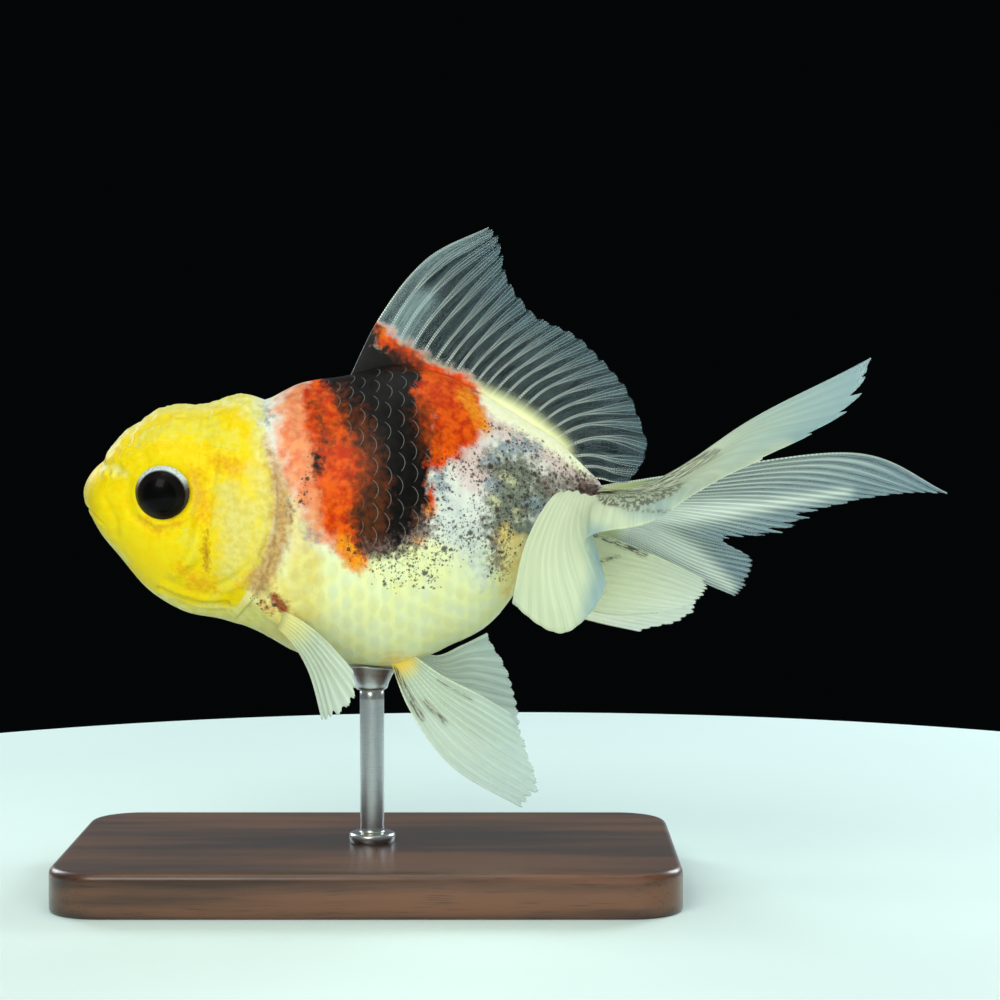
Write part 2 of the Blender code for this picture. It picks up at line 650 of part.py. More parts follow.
def build_stand(clearance):
    """A flat base, a rod, and a small cup that takes the curve of the belly."""
    inset = 2 * BASE_CHAMFER
    low = (BASE_LENGTH - inset / 2, BASE_WIDTH - inset / 2, BASE_CORNER - BASE_CHAMFER / 2)
    full = (BASE_LENGTH, BASE_WIDTH, BASE_CORNER)
    top = (BASE_LENGTH - inset, BASE_WIDTH - inset, BASE_CORNER - BASE_CHAMFER)
    levels = (
        (*low, 0.0),
        (*full, BASE_CHAMFER / 2),
        (*full, BASE_HEIGHT - BASE_CHAMFER),
        (*top, BASE_HEIGHT),
    )
    rings = np.array([rounded_outline(*level) for level in levels])
    closed_loft("stand_base", rings, "base_wood")

    ends = (BASE_HEIGHT + GAP, CUP_FOOT_Z - GAP)
    rings = np.array([circle(ROD_RADIUS, z) for z in ends])
    closed_loft("stand_rod", rings, "rod_steel")

    share = np.linspace(0.0, 1.0, CUP_RINGS)
    radius = lerp(CUP_FOOT_RADIUS, CUP_RIM_RADIUS, share**CUP_FLARE)
    height = CUP_FOOT_Z + CUP_HEIGHT * share
    rings = np.array([circle(r, z) for r, z in zip(radius, height)])
    boolean(closed_loft("stand_cup", rings, "rod_steel"), clearance)


def main():
    clear_scene()
    head, head_form, clearance = build_body()
    build_hood(head)
    build_gill_covers(head)
    build_jaw(head, head_form)
    build_eyes(head)
    build_fins(clearance)
    build_tail(clearance)
    build_stand(clearance)


main()
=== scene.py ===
"""Fancy goldfish on a display stand: skin, scales, fins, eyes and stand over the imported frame.

Plan sizes are in millimetres. Placement carries them into the frame, in metres.
"""

import itertools
import logging
import math
from collections.abc import Sequence
from dataclasses import dataclass
from enum import Enum

import bpy
import numpy as np
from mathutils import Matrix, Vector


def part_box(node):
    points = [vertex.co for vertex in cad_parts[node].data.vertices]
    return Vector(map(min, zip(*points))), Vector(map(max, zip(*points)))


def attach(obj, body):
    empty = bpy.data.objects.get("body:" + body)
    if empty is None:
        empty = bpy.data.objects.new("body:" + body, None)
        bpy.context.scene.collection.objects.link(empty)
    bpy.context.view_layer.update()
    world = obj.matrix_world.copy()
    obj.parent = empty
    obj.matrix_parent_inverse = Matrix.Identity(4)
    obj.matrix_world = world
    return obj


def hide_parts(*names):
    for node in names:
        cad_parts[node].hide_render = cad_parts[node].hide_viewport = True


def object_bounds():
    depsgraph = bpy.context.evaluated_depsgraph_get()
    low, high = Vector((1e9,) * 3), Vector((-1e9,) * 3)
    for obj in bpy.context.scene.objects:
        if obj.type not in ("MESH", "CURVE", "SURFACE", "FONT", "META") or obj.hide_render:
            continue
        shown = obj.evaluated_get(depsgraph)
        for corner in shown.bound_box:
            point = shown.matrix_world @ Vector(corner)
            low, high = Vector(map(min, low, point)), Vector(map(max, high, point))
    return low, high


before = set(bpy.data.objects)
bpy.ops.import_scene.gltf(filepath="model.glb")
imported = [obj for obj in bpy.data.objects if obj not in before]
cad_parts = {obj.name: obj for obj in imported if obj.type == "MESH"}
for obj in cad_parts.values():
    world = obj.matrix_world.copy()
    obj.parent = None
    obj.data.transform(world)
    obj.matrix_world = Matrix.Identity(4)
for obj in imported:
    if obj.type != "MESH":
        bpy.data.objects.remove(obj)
CAD_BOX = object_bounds()

LOG = logging.getLogger("goldfish")
MM = 0.001
BAKE_MAP = "OFBake"

Array = np.ndarray
Colour = tuple[float, float, float]
Point = tuple[float, float, float]
Chain = tuple[Point, ...]


class Side(Enum):
    """A side of the fish. The value is the sign of its Y."""

    LEFT = -1
    RIGHT = 1

    @property
    def label(self) -> str:
        """The side's name as CAD nodes have it."""
        return self.name.lower()


# ---- Numbers and shapes ----


def ramp(value: Array | float, start: float, end: float) -> Array:
    """A smooth step from 0 at start to 1 at end."""
    t = np.clip((np.asarray(value, float) - start) / (end - start), 0.0, 1.0)
    return t * t * (3.0 - 2.0 * t)


def lerp(a: Array | float, b: Array | float, t: Array | float) -> Array | float:
    """The value a share t of the way from a to b."""
    return a + (b - a) * t


def bell(value: Array, width: float) -> Array:
    """A rounded hill: 1 at 0, falling to nothing over a width."""
    return np.exp(-((value / width) ** 2))


def hills(away: Array, rows: Sequence[Point]) -> Array:
    """The sum of hills, each given as its height, how far out it stands and its width."""
    return sum(height * bell(away - at, width) for height, at, width in rows)


def hermite(
    t: Array, ends: tuple[Array, Array], slopes: tuple[Array, Array], step: Array | float = 1.0
) -> Array:
    """A cubic between two ends.

    Args:
        t: shares of the way, from 0 to 1.
        ends: the values at 0 and at 1.
        slopes: the slopes there.
        step: the distance from one end to the other.

    Returns:
        One value for each share.
    """
    start = (1 + 2 * t) * (1 - t) ** 2 * ends[0] + t * (1 - t) ** 2 * step * slopes[0]
    end = t * t * (3 - 2 * t) * ends[1] - t * t * (1 - t) * step * slopes[1]
    return start + end


def cubic(x: Array, xs: Array, ys: Array) -> Array:
    """The value at x of a cubic with central slopes through (xs, ys).

    Args:
        x: where it is wanted.
        xs: rising places.
        ys: the values there, held past the ends.

    Returns:
        One value for each x.
    """
    slopes = np.gradient(ys, xs)
    i = np.clip(np.searchsorted(xs, x) - 1, 0, len(xs) - 2)
    step = xs[i + 1] - xs[i]
    t = np.clip((x - xs[i]) / step, 0.0, 1.0)
    return hermite(t, (ys[i], ys[i + 1]), (slopes[i], slopes[i + 1]), step)


def lumps(points: Array, size: float, seed: int) -> Array:
    """Smooth random values from -1 to 1.

    Args:
        points: places in millimetres, with x, y and z last.
        size: distance from one hill to the next, in millimetres.
        seed: picks the pattern.

    Returns:
        One value for each point.
    """
    lattice = np.random.default_rng(seed).uniform(-1.0, 1.0, (32, 32, 32))
    place = np.asarray(points, float) / size
    low = np.floor(place).astype(int)
    share = place - low
    share = share * share * (3.0 - 2.0 * share)
    total = np.zeros(place.shape[:-1])
    for corner in itertools.product((0, 1), repeat=3):
        weight = np.prod(np.where(corner, share, 1.0 - share), axis=-1)
        i, j, k = np.moveaxis((low + corner) % 32, -1, 0)
        total += weight * lattice[i, j, k]
    return total


def inside(x: Array, z: Array, chain: Chain) -> Array:
    """How far inside a chain of round blobs each place lies, and negative outside it.

    Args:
        x: places along the fish, in millimetres.
        z: heights of the places, in millimetres.
        chain: the blobs in order, each as x, z and radius.

    Returns:
        The distance for each place, in millimetres.
    """
    best = np.full(np.shape(x), -1e3)
    for (x0, z0, r0), (x1, z1, r1) in zip(chain, chain[1:] or chain):
        dx, dz = x1 - x0, z1 - z0
        t = np.clip(((x - x0) * dx + (z - z0) * dz) / (dx * dx + dz * dz + 1e-9), 0.0, 1.0)
        away = np.hypot(x - x0 - t * dx, z - z0 - t * dz)
        best = np.maximum(best, r0 + (r1 - r0) * t - away)
    return best


def deepest_in(x: Array, z: Array, chains: Sequence[Chain]) -> Array:
    """How far inside any of several chains each place lies. It is far outside if there are none."""
    return np.max([inside(x, z, chain) for chain in (*chains, ())], axis=0)


def stroke(x: Array, z: Array, path: Sequence[tuple[float, float]], width: float) -> Array:
    """A soft line along a path: 1 on it, falling to nothing over its width."""
    line = tuple((px, pz, 0.0) for px, pz in path)
    return bell(inside(x, z, line), width)


def through(points: Array, t: Array) -> Array:
    """Points along a smooth curve through evenly spaced points. t runs from 0 to their last.

    Args:
        points: the points to pass through.
        t: places along the curve, counted in points.

    Returns:
        One point for each place.
    """
    points = np.asarray(points, float)
    slopes = np.gradient(points, axis=0)
    i = np.clip(t.astype(int), 0, len(points) - 2)
    share = (t - i).reshape(-1, *([1] * (points.ndim - 1)))
    return hermite(share, (points[i], points[i + 1]), (slopes[i], slopes[i + 1]))


def unit(vectors: Array) -> Array:
    """The vectors at length 1."""
    return vectors / np.maximum(np.linalg.norm(vectors, axis=-1, keepdims=True), 1e-12)


def grid_faces(rows: int, columns: int, first: int = 0, wrap: bool = False) -> Array:
    """Four-cornered faces over a grid of vertices numbered row by row.

    Args:
        rows: how many rows it has.
        columns: how many columns it has.
        first: the number of its first vertex.
        wrap: whether its last column joins its first.

    Returns:
        The corners of each face.
    """
    i, j = np.meshgrid(np.arange(rows - 1), np.arange(columns - (not wrap)), indexing="ij")
    k = (j + 1) % columns
    corners = (i * columns + j, i * columns + k, (i + 1) * columns + k, (i + 1) * columns + j)
    return first + np.stack(corners, axis=-1).reshape(-1, 4)


def pole_fans(rows: int, columns: int) -> list[tuple[int, int, int]]:
    """Triangles that close a wrapped grid to two poles, numbered next after it.

    Args:
        rows: how many rows it has.
        columns: how many columns it has.

    Returns:
        The corners of each triangle.
    """
    pole, last = rows * columns, (rows - 1) * columns
    fans = []
    for j in range(columns):
        k = (j + 1) % columns
        fans += [(pole, k, j), (pole + 1, last + j, last + k)]
    return fans


def rim_of(rows: int, columns: int) -> Array:
    """The grid's border vertices in order round it.

    Args:
        rows: how many rows it has.
        columns: how many columns it has.

    Returns:
        The vertices' numbers.
    """
    top = np.arange(columns)
    right = np.arange(1, rows) * columns + columns - 1
    bottom = (rows - 1) * columns + np.arange(columns - 2, -1, -1)
    left = np.arange(rows - 2, 0, -1) * columns
    return np.concatenate([top, right, bottom, left])


def slab_mesh(front: Array, back: Array) -> tuple[Array, Array]:
    """The vertices and faces of a closed body between two grids, joined round their rims.

    Args:
        front: the points of one face, row by row.
        back: those of the other, opposite them.

    Returns:
        The vertices, and the corners of each face.
    """
    rows, columns, _ = front.shape
    behind = rows * columns
    faces = grid_faces(rows, columns)
    rim = rim_of(rows, columns)
    after = np.roll(rim, -1)
    edge = np.stack([rim, behind + rim, behind + after, after], axis=-1)
    points = np.concatenate([front.reshape(-1, 3), back.reshape(-1, 3)])
    return points, np.concatenate([faces, faces[:, ::-1] + behind, edge])


def volume_sign(points: Array, faces: Array) -> float:
    """Positive where a closed mesh's faces look outwards."""
    a, b, c, d = (points[faces[:, n]] for n in range(4))
    return float(np.einsum("ij,ij->i", a, np.cross(b, c) + np.cross(c, d)).sum())


def linked(name: str, data: bpy.types.ID) -> bpy.types.Object:
    """A new object of some data, linked to the scene.

    Args:
        name: the object's name.
        data: its mesh, lamp or lens.

    Returns:
        The object.
    """
    made = bpy.data.objects.new(name, data)
    bpy.context.scene.collection.objects.link(made)
    return made


def build_mesh(
    name: str, points: Array, faces: Array, fans: Sequence[tuple[int, ...]] = ()
) -> bpy.types.Object:
    """A smooth-shaded object with its faces looking outwards.

    Args:
        name: the object's name.
        points: vertices in metres.
        faces: four-cornered faces.
        fans: triangles that close its poles.

    Returns:
        The object, linked to the scene.
    """
    if volume_sign(points, faces) < 0:
        faces = faces[:, ::-1]
        fans = [fan[::-1] for fan in fans]
    mesh = bpy.data.meshes.new(name)
    mesh.from_pydata(points.tolist(), [], faces.tolist() + [list(fan) for fan in fans])
    mesh.validate()
    mesh.shade_smooth()
    return linked(name, mesh)


def write_values(made: bpy.types.Object, name: str, values: Array) -> None:
    """Stores a number, or a vector, at each vertex under a name.

    Args:
        made: the object.
        name: the name to store them under.
        values: one number, or one vector, for each vertex.
    """
    kind, key = ("FLOAT", "value") if np.ndim(values) == 1 else ("FLOAT_VECTOR", "vector")
    layer = made.data.attributes.new(name, kind, "POINT")
    layer.data.foreach_set(key, np.ascontiguousarray(values, np.float32).ravel())


def read_values(made: bpy.types.Object, name: str) -> Array:
    """The numbers stored at the vertices under a name.

    Args:
        made: the object.
        name: the name that they are stored under.

    Returns:
        One number for each vertex.
    """
    layer = made.data.attributes[name]
    found = np.empty(len(layer.data), np.float32)
    layer.data.foreach_get("value", found)
    return found


def places_of(made: bpy.types.Object) -> Array:
    """The vertices of an object, in metres.

    Args:
        made: the object.

    Returns:
        One point for each vertex.
    """
    found = np.empty(len(made.data.vertices) * 3, np.float32)
    made.data.vertices.foreach_get("co", found)
    return found.reshape(-1, 3).astype(float)


def write_map(made: bpy.types.Object, uv: Array, wraps: bool = False) -> None:
    """Gives an object its bake map from one place for each vertex.

    Args:
        made: the object.
        uv: the place of each vertex on the map.
        wraps: whether the map's first and last columns meet on the object.
    """
    layer = made.data.uv_layers.new(name=BAKE_MAP)
    corners = np.empty(len(made.data.loops), np.int32)
    made.data.loops.foreach_get("vertex_index", corners)
    at = uv[corners]
    if wraps:
        starts = np.empty(len(made.data.polygons), np.int32)
        made.data.polygons.foreach_get("loop_start", starts)
        sizes = np.diff(np.append(starts, len(corners)))
        face = np.repeat(np.arange(len(starts)), sizes)
        right = np.maximum.reduceat(at[:, 0], starts)[face]
        at[:, 0] += (right - at[:, 0] > 0.5) * 1.0
        at[:, 0] *= 0.98
    layer.data.foreach_set("uv", at.astype(np.float32).ravel())


def finish_piece(
    made: bpy.types.Object, material: bpy.types.Material, nodes: Sequence[str] = ()
) -> bpy.types.Object:
    """Dresses a piece, rides it on the frame and hides the CAD nodes that it replaces.

    Args:
        made: the piece.
        material: its finish.
        nodes: the CAD nodes that it replaces.

    Returns:
        The same piece.
    """
    made.data.materials.clear()
    made.data.materials.append(material)
    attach(made, "root")
    if nodes:
        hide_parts(*nodes)
    LOG.info("%s: %d faces", made.name, len(made.data.polygons))
    return made


# ---- The fish's form ----


@dataclass(frozen=True)
class Station:
    """A cross-section of the body.

    waist is its widest height as a share of its depth, and pinch is how much the back narrows.
    """

    x: float
    back: float
    belly: float
    half_width: float
    waist: float
    pinch: float


STATIONS = (
    Station(-33.1, 48.2, 43.0, 3.0, 0.50, 0.00),
    Station(-31.3, 48.9, 40.8, 4.4, 0.50, 0.00),
    Station(-30.2, 49.4, 39.6, 5.0, 0.50, 0.00),
    Station(-29.1, 50.2, 38.3, 5.5, 0.50, 0.00),
    Station(-26.1, 52.1, 34.7, 6.6, 0.50, 0.00),
    Station(-22.0, 53.6, 31.9, 7.6, 0.50, 0.00),
    Station(-17.0, 54.7, 30.7, 8.7, 0.49, 0.02),
    Station(-12.7, 55.9, 29.1, 9.5, 0.48, 0.04),
    Station(-8.3, 58.0, 26.8, 10.3, 0.46, 0.08),
    Station(-3.0, 58.9, 25.6, 11.0, 0.45, 0.12),
    Station(3.2, 60.2, 25.3, 11.0, 0.45, 0.16),
    Station(9.0, 58.8, 27.6, 9.8, 0.45, 0.24),
    Station(14.5, 56.0, 30.8, 7.7, 0.46, 0.32),
    Station(18.2, 53.7, 35.8, 5.7, 0.47, 0.34),
    Station(21.6, 51.4, 39.6, 3.9, 0.48, 0.30),
    Station(24.5, 48.6, 40.8, 2.6, 0.50, 0.15),
    Station(27.4, 45.8, 41.2, 1.9, 0.50, 0.00),
)


@dataclass(frozen=True)
class BodyForm:
    """The fish's outline from snout to tail stalk. angle is 0 at the back and pi at the belly."""

    snout_x: float = -33.1
    snout_z: float = 45.2
    snout_cap: float = 3.0
    stalk_end: float = 27.4
    stalk_cap: float = 1.2
    gill_x: float = -14.4
    gill_rake: float = 1.7
    gill_bow: float = 4.2
    hood_rises: tuple[tuple[float, float], ...] = (
        (-30.6, 0.0), (-30.1, 0.37), (-29.6, 0.72), (-29.0, 0.88), (-28.2, 1.15), (-27.4, 1.36),
        (-26.4, 1.48), (-25.1, 1.75), (-23.5, 2.15), (-22.0, 2.05), (-20.3, 1.65), (-18.8, 1.32),
        (-17.2, 1.42), (-15.6, 1.54), (-14.3, 1.45), (-13.0, 0.78), (-12.2, 0.0),
    )
    hood_edge: tuple[float, float] = (math.radians(38), math.radians(78))
    slope_step: float = 0.04

    def profile(self, x: Array, field: str) -> Array:
        """A value of the stations at x."""
        return cubic(x, *np.array([(s.x, getattr(s, field)) for s in STATIONS]).T)

    def end_cap(self, x: Array) -> Array:
        """How far the section has closed towards the ends: 0 at an end, 1 along the body.

        Args:
            x: places along the fish.

        Returns:
            The share at each place.
        """
        nose = np.clip((self.snout_x + self.snout_cap - x) / self.snout_cap, 0.0, 1.0)
        tail = np.clip((x - self.stalk_end + self.stalk_cap) / self.stalk_cap, 0.0, 1.0)
        return np.sqrt(1.0 - nose**2) * np.sqrt(1.0 - tail**2)

    def middle(self, x: Array) -> Array:
        """The height of the body's widest point at x."""
        belly, back = self.profile(x, "belly"), self.profile(x, "back")
        return lerp(belly, back, self.profile(x, "waist"))

    def section(self, x: Array, angle: Array) -> Array:
        """The plain surface, without the hood.

        Args:
            x: places along the fish.
            angle: places round it.

        Returns:
            The points.
        """
        back, belly, middle = self.profile(x, "back"), self.profile(x, "belly"), self.middle(x)
        upward = np.maximum(np.cos(angle), 0.0)
        narrowed = 1 - self.profile(x, "pinch") * upward**2
        y = self.profile(x, "half_width") * np.sin(angle) * narrowed
        reach = np.where(np.cos(angle) > 0, back - middle, middle - belly)
        z = middle + reach * np.cos(angle)
        cap = self.end_cap(x)
        centre = np.where(x < 0, self.snout_z, middle)
        return np.stack([x, y * cap, lerp(centre, z, cap)], axis=-1)

    def hood_height(self, x: Array, angle: Array) -> Array:
        """How far the hood stands above the plain surface.

        Args:
            x: places along the fish.
            angle: places round it.

        Returns:
            The height at each place.
        """
        spread = np.abs(np.arctan2(np.sin(angle), np.cos(angle)))
        rise = cubic(x, *np.array(self.hood_rises).T)
        return rise * (1 - ramp(spread, *self.hood_edge))

    def surface(self, x: Array, angle: Array, lift: Array | float = 0.0) -> tuple[Array, Array]:
        """The true outline.

        Args:
            x: places along the fish.
            angle: places round it.
            lift: how far to stand off it, outwards.

        Returns:
            The points, and the directions that face out there.
        """
        x, angle = np.broadcast_arrays(np.asarray(x, float), np.asarray(angle, float))
        low = np.clip(x - self.slope_step, self.snout_x, self.stalk_end)
        high = np.clip(x + self.slope_step, self.snout_x, self.stalk_end)
        along = self.section(high, angle) - self.section(low, angle)
        around = self.section(x, angle + self.slope_step) - self.section(x, angle - self.slope_step)
        normal = np.cross(along, around)
        flat = np.linalg.norm(normal, axis=-1, keepdims=True) < 1e-9
        normal = np.where(flat, np.array([-1.0, 0.0, 0.0]), unit(normal))
        rise = self.hood_height(x, angle) + lift
        return self.section(x, angle) + normal * rise[..., None], normal

    def gill_line(self, angle: Array) -> Array:
        """Where the gill covers end: the line bows towards the tail at mid-height."""
        return self.gill_x + self.gill_rake * np.cos(angle) + self.gill_bow * np.sin(angle) ** 2


class Placement:
    """Carries plan millimetres into the frame, fitted to the body's own CAD nodes."""

    trunk_span = (-10.0, 19.6)

    def __init__(self, form: BodyForm) -> None:
        """Fits the plan to the boxes of the head, trunk and tail stalk.

        Args:
            form: the fish's outline in plan millimetres.
        """
        x = np.linspace(*self.trunk_span, 120)[:, None]
        trunk, _ = form.surface(x, np.linspace(0.0, 2 * math.pi, 121)[None, :])
        low, high = (np.array(corner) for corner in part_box("trunk"))
        plan_low, plan_high = trunk.min(axis=(0, 1)), trunk.max(axis=(0, 1))
        self.scale = (high - low) / (plan_high - plan_low)
        self.shift = low - plan_low * self.scale
        ends = (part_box("head")[0][0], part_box("tail_stalk")[1][0])
        plan_ends = (form.snout_x, form.stalk_end)
        self.scale[0] = (ends[1] - ends[0]) / (plan_ends[1] - plan_ends[0])
        self.shift[0] = ends[0] - plan_ends[0] * self.scale[0]

    def metres(self, points: Array) -> Array:
        """Plan points in the frame."""
        return np.asarray(points, float) * self.scale + self.shift

    def plan(self, points: Array) -> Array:
        """Points of the frame in plan millimetres."""
        return (np.asarray(points, float) - self.shift) / self.scale


# ---- Nodes ----


class Wiring:
    """Adds linked nodes to one shader or geometry tree."""

    def __init__(self, tree: bpy.types.NodeTree) -> None:
        """Works on the given tree."""
        self.tree = tree

    def feed(self, socket: bpy.types.NodeSocket, value: object) -> None:
        """Links a socket to an input, or sets the input's own value.

        Args:
            socket: the input.
            value: the socket to link to it, or its own value.
        """
        if isinstance(value, bpy.types.NodeSocket):
            self.tree.links.new(value, socket)
        else:
            socket.default_value = value

    def add(self, kind: str, inputs: dict | None = None, **settings: object) -> bpy.types.Node:
        """A new node.

        Args:
            kind: the node's type.
            inputs: for each input's name or number, a value or the socket that feeds it.
            settings: the node's own properties.

        Returns:
            The node.
        """
        node = self.tree.nodes.new(kind)
        for key, value in settings.items():
            setattr(node, key, value)
        for key, value in (inputs or {}).items():
            self.feed(node.inputs[key], value)
        return node

    def out(self, kind: str, inputs: dict | None = None, **settings: object) -> bpy.types.NodeSocket:
        """The first output of a new node."""
        return self.add(kind, inputs, **settings).outputs[0]

    def math(self, operation: str, *values: object, clamp: bool = False) -> bpy.types.NodeSocket:
        """The result of one sum."""
        inputs = dict(enumerate(values))
        return self.out("ShaderNodeMath", inputs, operation=operation, use_clamp=clamp)

    def times(self, value: object, by: object) -> bpy.types.NodeSocket:
        """One value times another."""
        return self.math("MULTIPLY", value, by)

    def scaled(self, value: object, by: object, plus: object) -> bpy.types.NodeSocket:
        """One value times another, plus a third."""
        return self.math("MULTIPLY_ADD", value, by, plus)

    def opposite(self, mask: object) -> bpy.types.NodeSocket:
        """A mask turned round: 1 where it was 0."""
        return self.math("SUBTRACT", 1.0, mask)

    def vector(self, operation: str, *values: object) -> bpy.types.NodeSocket:
        """The result of one sum of vectors."""
        return self.out("ShaderNodeVectorMath", dict(enumerate(values)), operation=operation)

    def pair(self, x: object, y: object) -> bpy.types.NodeSocket:
        """A vector from its first two parts."""
        return self.out("ShaderNodeCombineXYZ", {0: x, 1: y})

    def step(self, value: object, start: object, end: object) -> bpy.types.NodeSocket:
        """A smooth step from 0 at start to 1 at end."""
        inputs = {0: value, 1: start, 2: end}
        return self.out("ShaderNodeMapRange", inputs, interpolation_type="SMOOTHSTEP")

    def mix(self, share: object, under: object, over: object) -> bpy.types.NodeSocket:
        """One colour laid over another by a share. Colours of three numbers are display colours.

        Args:
            share: how much of the upper colour shows.
            under: the lower colour.
            over: the upper colour.

        Returns:
            The mixed colour.
        """
        node = self.add("ShaderNodeMix", {0: share}, data_type="RGBA")
        for key, value in ((6, under), (7, over)):
            if isinstance(value, tuple) and len(value) == 3:
                value = tint(value)
            self.feed(node.inputs[key], value)
        return node.outputs[2]

    def place(self) -> bpy.types.NodeSocket:
        """The place on the piece, in millimetres."""
        where = self.add("ShaderNodeTexCoord").outputs["Object"]
        return self.vector("MULTIPLY", where, (1 / MM,) * 3)

    def noise(self, where: object, size: float, detail: float = 2.0) -> bpy.types.NodeSocket:
        """Soft cloudy values about 0.5. size is a cloud's width in millimetres."""
        inputs = {"Vector": where, "Scale": 1.0 / size, "Detail": detail, "Roughness": 0.55}
        return self.add("ShaderNodeTexNoise", inputs).outputs["Fac"]

    def stored(self, name: str) -> bpy.types.NodeSocket:
        """A number stored at the piece's vertices."""
        return self.add("ShaderNodeAttribute", attribute_name=name).outputs["Fac"]

    def bump(self, height: object, strength: float, depth: float) -> bpy.types.NodeSocket:
        """The normal that a height gives. depth is in millimetres."""
        inputs = {"Strength": strength, "Distance": depth * MM, "Height": height}
        return self.out("ShaderNodeBump", inputs)


def tint(colour: Colour) -> tuple[float, float, float, float]:
    """A display colour from 0 to 255 as a shader's colour."""
    parts = (c / 255.0 for c in colour)
    return (*(c / 12.92 if c < 0.04045 else ((c + 0.055) / 1.055) ** 2.4 for c in parts), 1.0)


class Paint(Wiring):
    """A new material and its shader, dressed by name."""

    def __init__(self, name: str) -> None:
        """Starts the material.

        Args:
            name: the material's name.
        """
        self.material = bpy.data.materials.new(name)
        self.material.use_nodes = True
        super().__init__(self.material.node_tree)
        self.shader = self.tree.nodes["Principled BSDF"]

    def dress(self, **values: object) -> bpy.types.Material:
        """Feeds or sets the shader's own sockets, whose spaces are underscores here.

        Returns:
            The material.
        """
        for name, value in values.items():
            self.feed(self.shader.inputs[name.replace("_", " ")], value)
        return self.material


def geometry_tree(name: str, inputs: dict[str, str]) -> tuple[Wiring, bpy.types.bpy_prop_collection]:
    """A new tree of geometry nodes.

    Args:
        name: the tree's name.
        inputs: each named input's kind.

    Returns:
        The tree's wiring and its inputs.
    """
    tree = bpy.data.node_groups.new(name, "GeometryNodeTree")
    tree.interface.new_socket("Geometry", in_out="OUTPUT", socket_type="NodeSocketGeometry")
    for label, kind in inputs.items():
        tree.interface.new_socket(label, in_out="INPUT", socket_type=f"NodeSocket{kind}")
    wiring = Wiring(tree)
    return wiring, wiring.add("NodeGroupInput").outputs


# ---- Markings ----


@dataclass(frozen=True)
class Marking:
    """One colour of the coat, or light or shade painted on it. Lengths are in millimetres.

    It lies on chains of blobs in side view or, where line is given, ahead of the line of (z, x)
    pairs.
    """

    name: str
    colour: Colour
    shade: Colour
    chains: tuple[Chain, ...] = ()
    line: tuple[tuple[float, float], ...] = ()
    soft: float = 0.5
    ragged: float = 0.6
    grain: float = 1.2
    strength: float = 1.0
    both_sides: bool = False


BASE_COAT = (222, 224, 208)
BELLY = Marking(
    "belly", (228, 229, 158), (225, 232, 180),
    (((-14, 29, 5.0), (-6, 31, 8.4), (4, 30.5, 9.6), (12, 33, 6.8)), ((4, 38.6, 2.6), (11, 37.4, 2.4))),
    soft=1.8, ragged=1.8, grain=2.6, both_sides=True,
)
CHEST = Marking(
    "chest", (220, 196, 82), (226, 212, 116),
    (((-10.5, 35.5, 1.8), (-7.6, 33.6, 2.6), (-6.9, 38.0, 2.0), (-7.6, 41.6, 1.7), (-8.3, 44.6, 0.9)),
     ((-16, 31, 1.6), (-10, 29.4, 1.6)), ((-15.0, 33.0, 1.0), (-12.4, 32.9, 1.8), (-10.2, 31.4, 1.8))),
    soft=1.5, ragged=1.4, grain=1.8, strength=0.75, both_sides=True,
)
REAR = Marking(
    "rear", (204, 178, 164), (220, 202, 192),
    (((11.2, 50.6, 2.4), (12.4, 48.4, 2.2)),
     ((13.4, 53.6, 1.4), (17.4, 52.6, 1.6), (21.0, 49.8, 1.6), (24.6, 47.0, 1.4))),
    soft=1.3, ragged=1.6, grain=1.2, both_sides=True,
)
PALE = Marking(
    "pale", (182, 194, 184), (212, 218, 204),
    (((8.4, 45.8, 0.9), (9.8, 43.0, 2.0), (11.4, 40.4, 1.8), (12.6, 37.8, 1.4), (13.2, 35.8, 0.7)),),
    soft=1.3, ragged=1.8, grain=0.9, strength=0.8, both_sides=True,
)
OLIVE = Marking(
    "olive", (62, 72, 60), (118, 124, 102),
    (((14.6, 49.0, 1.4), (16.6, 47.0, 2.9), (16.2, 44.4, 2.9), (15.4, 42.0, 2.2), (17.6, 41.6, 1.4)),
     ((19.2, 46.2, 1.6), (20.4, 44.2, 0.9))),
    soft=1.1, ragged=2.3, grain=0.8, strength=0.92,
)
STRAW = Marking(
    "straw", (196, 198, 148), (222, 216, 168),
    (((14.1, 45.0, 0.5), (14.4, 44.6, 0.5)), ((15.2, 47.6, 0.3), (16.4, 46.8, 0.3)),
     ((16.6, 43.6, 0.15), (16.8, 42.6, 0.15))),
    soft=0.45, ragged=0.8, grain=0.5, strength=0.8, both_sides=True,
)
# Pale skin along the back behind the dorsal fin, painted brighter as light falling on the back.
RIDGE_PALE_AND_PAINTED_LIGHT = Marking(
    "ridge", (246, 247, 190), (250, 251, 218),
    (((11.4, 58.0, 1.2), (14.6, 56.4, 2.2), (18.2, 54.2, 2.1), (21.6, 51.5, 1.7), (25.2, 48.2, 1.1)),),
    soft=0.7, ragged=0.8, grain=0.8, both_sides=True,
)
VENT = Marking(
    "vent", (232, 198, 104), (238, 222, 146),
    (((15.4, 41.0, 0.9), (16.6, 39.4, 1.5), (16.6, 36.6, 1.7), (15.6, 34.2, 0.8)),
     ((2.0, 26.4, 0.8), (3.6, 26.4, 0.9))),
    soft=0.9, ragged=1.1, strength=0.9, both_sides=True,
)
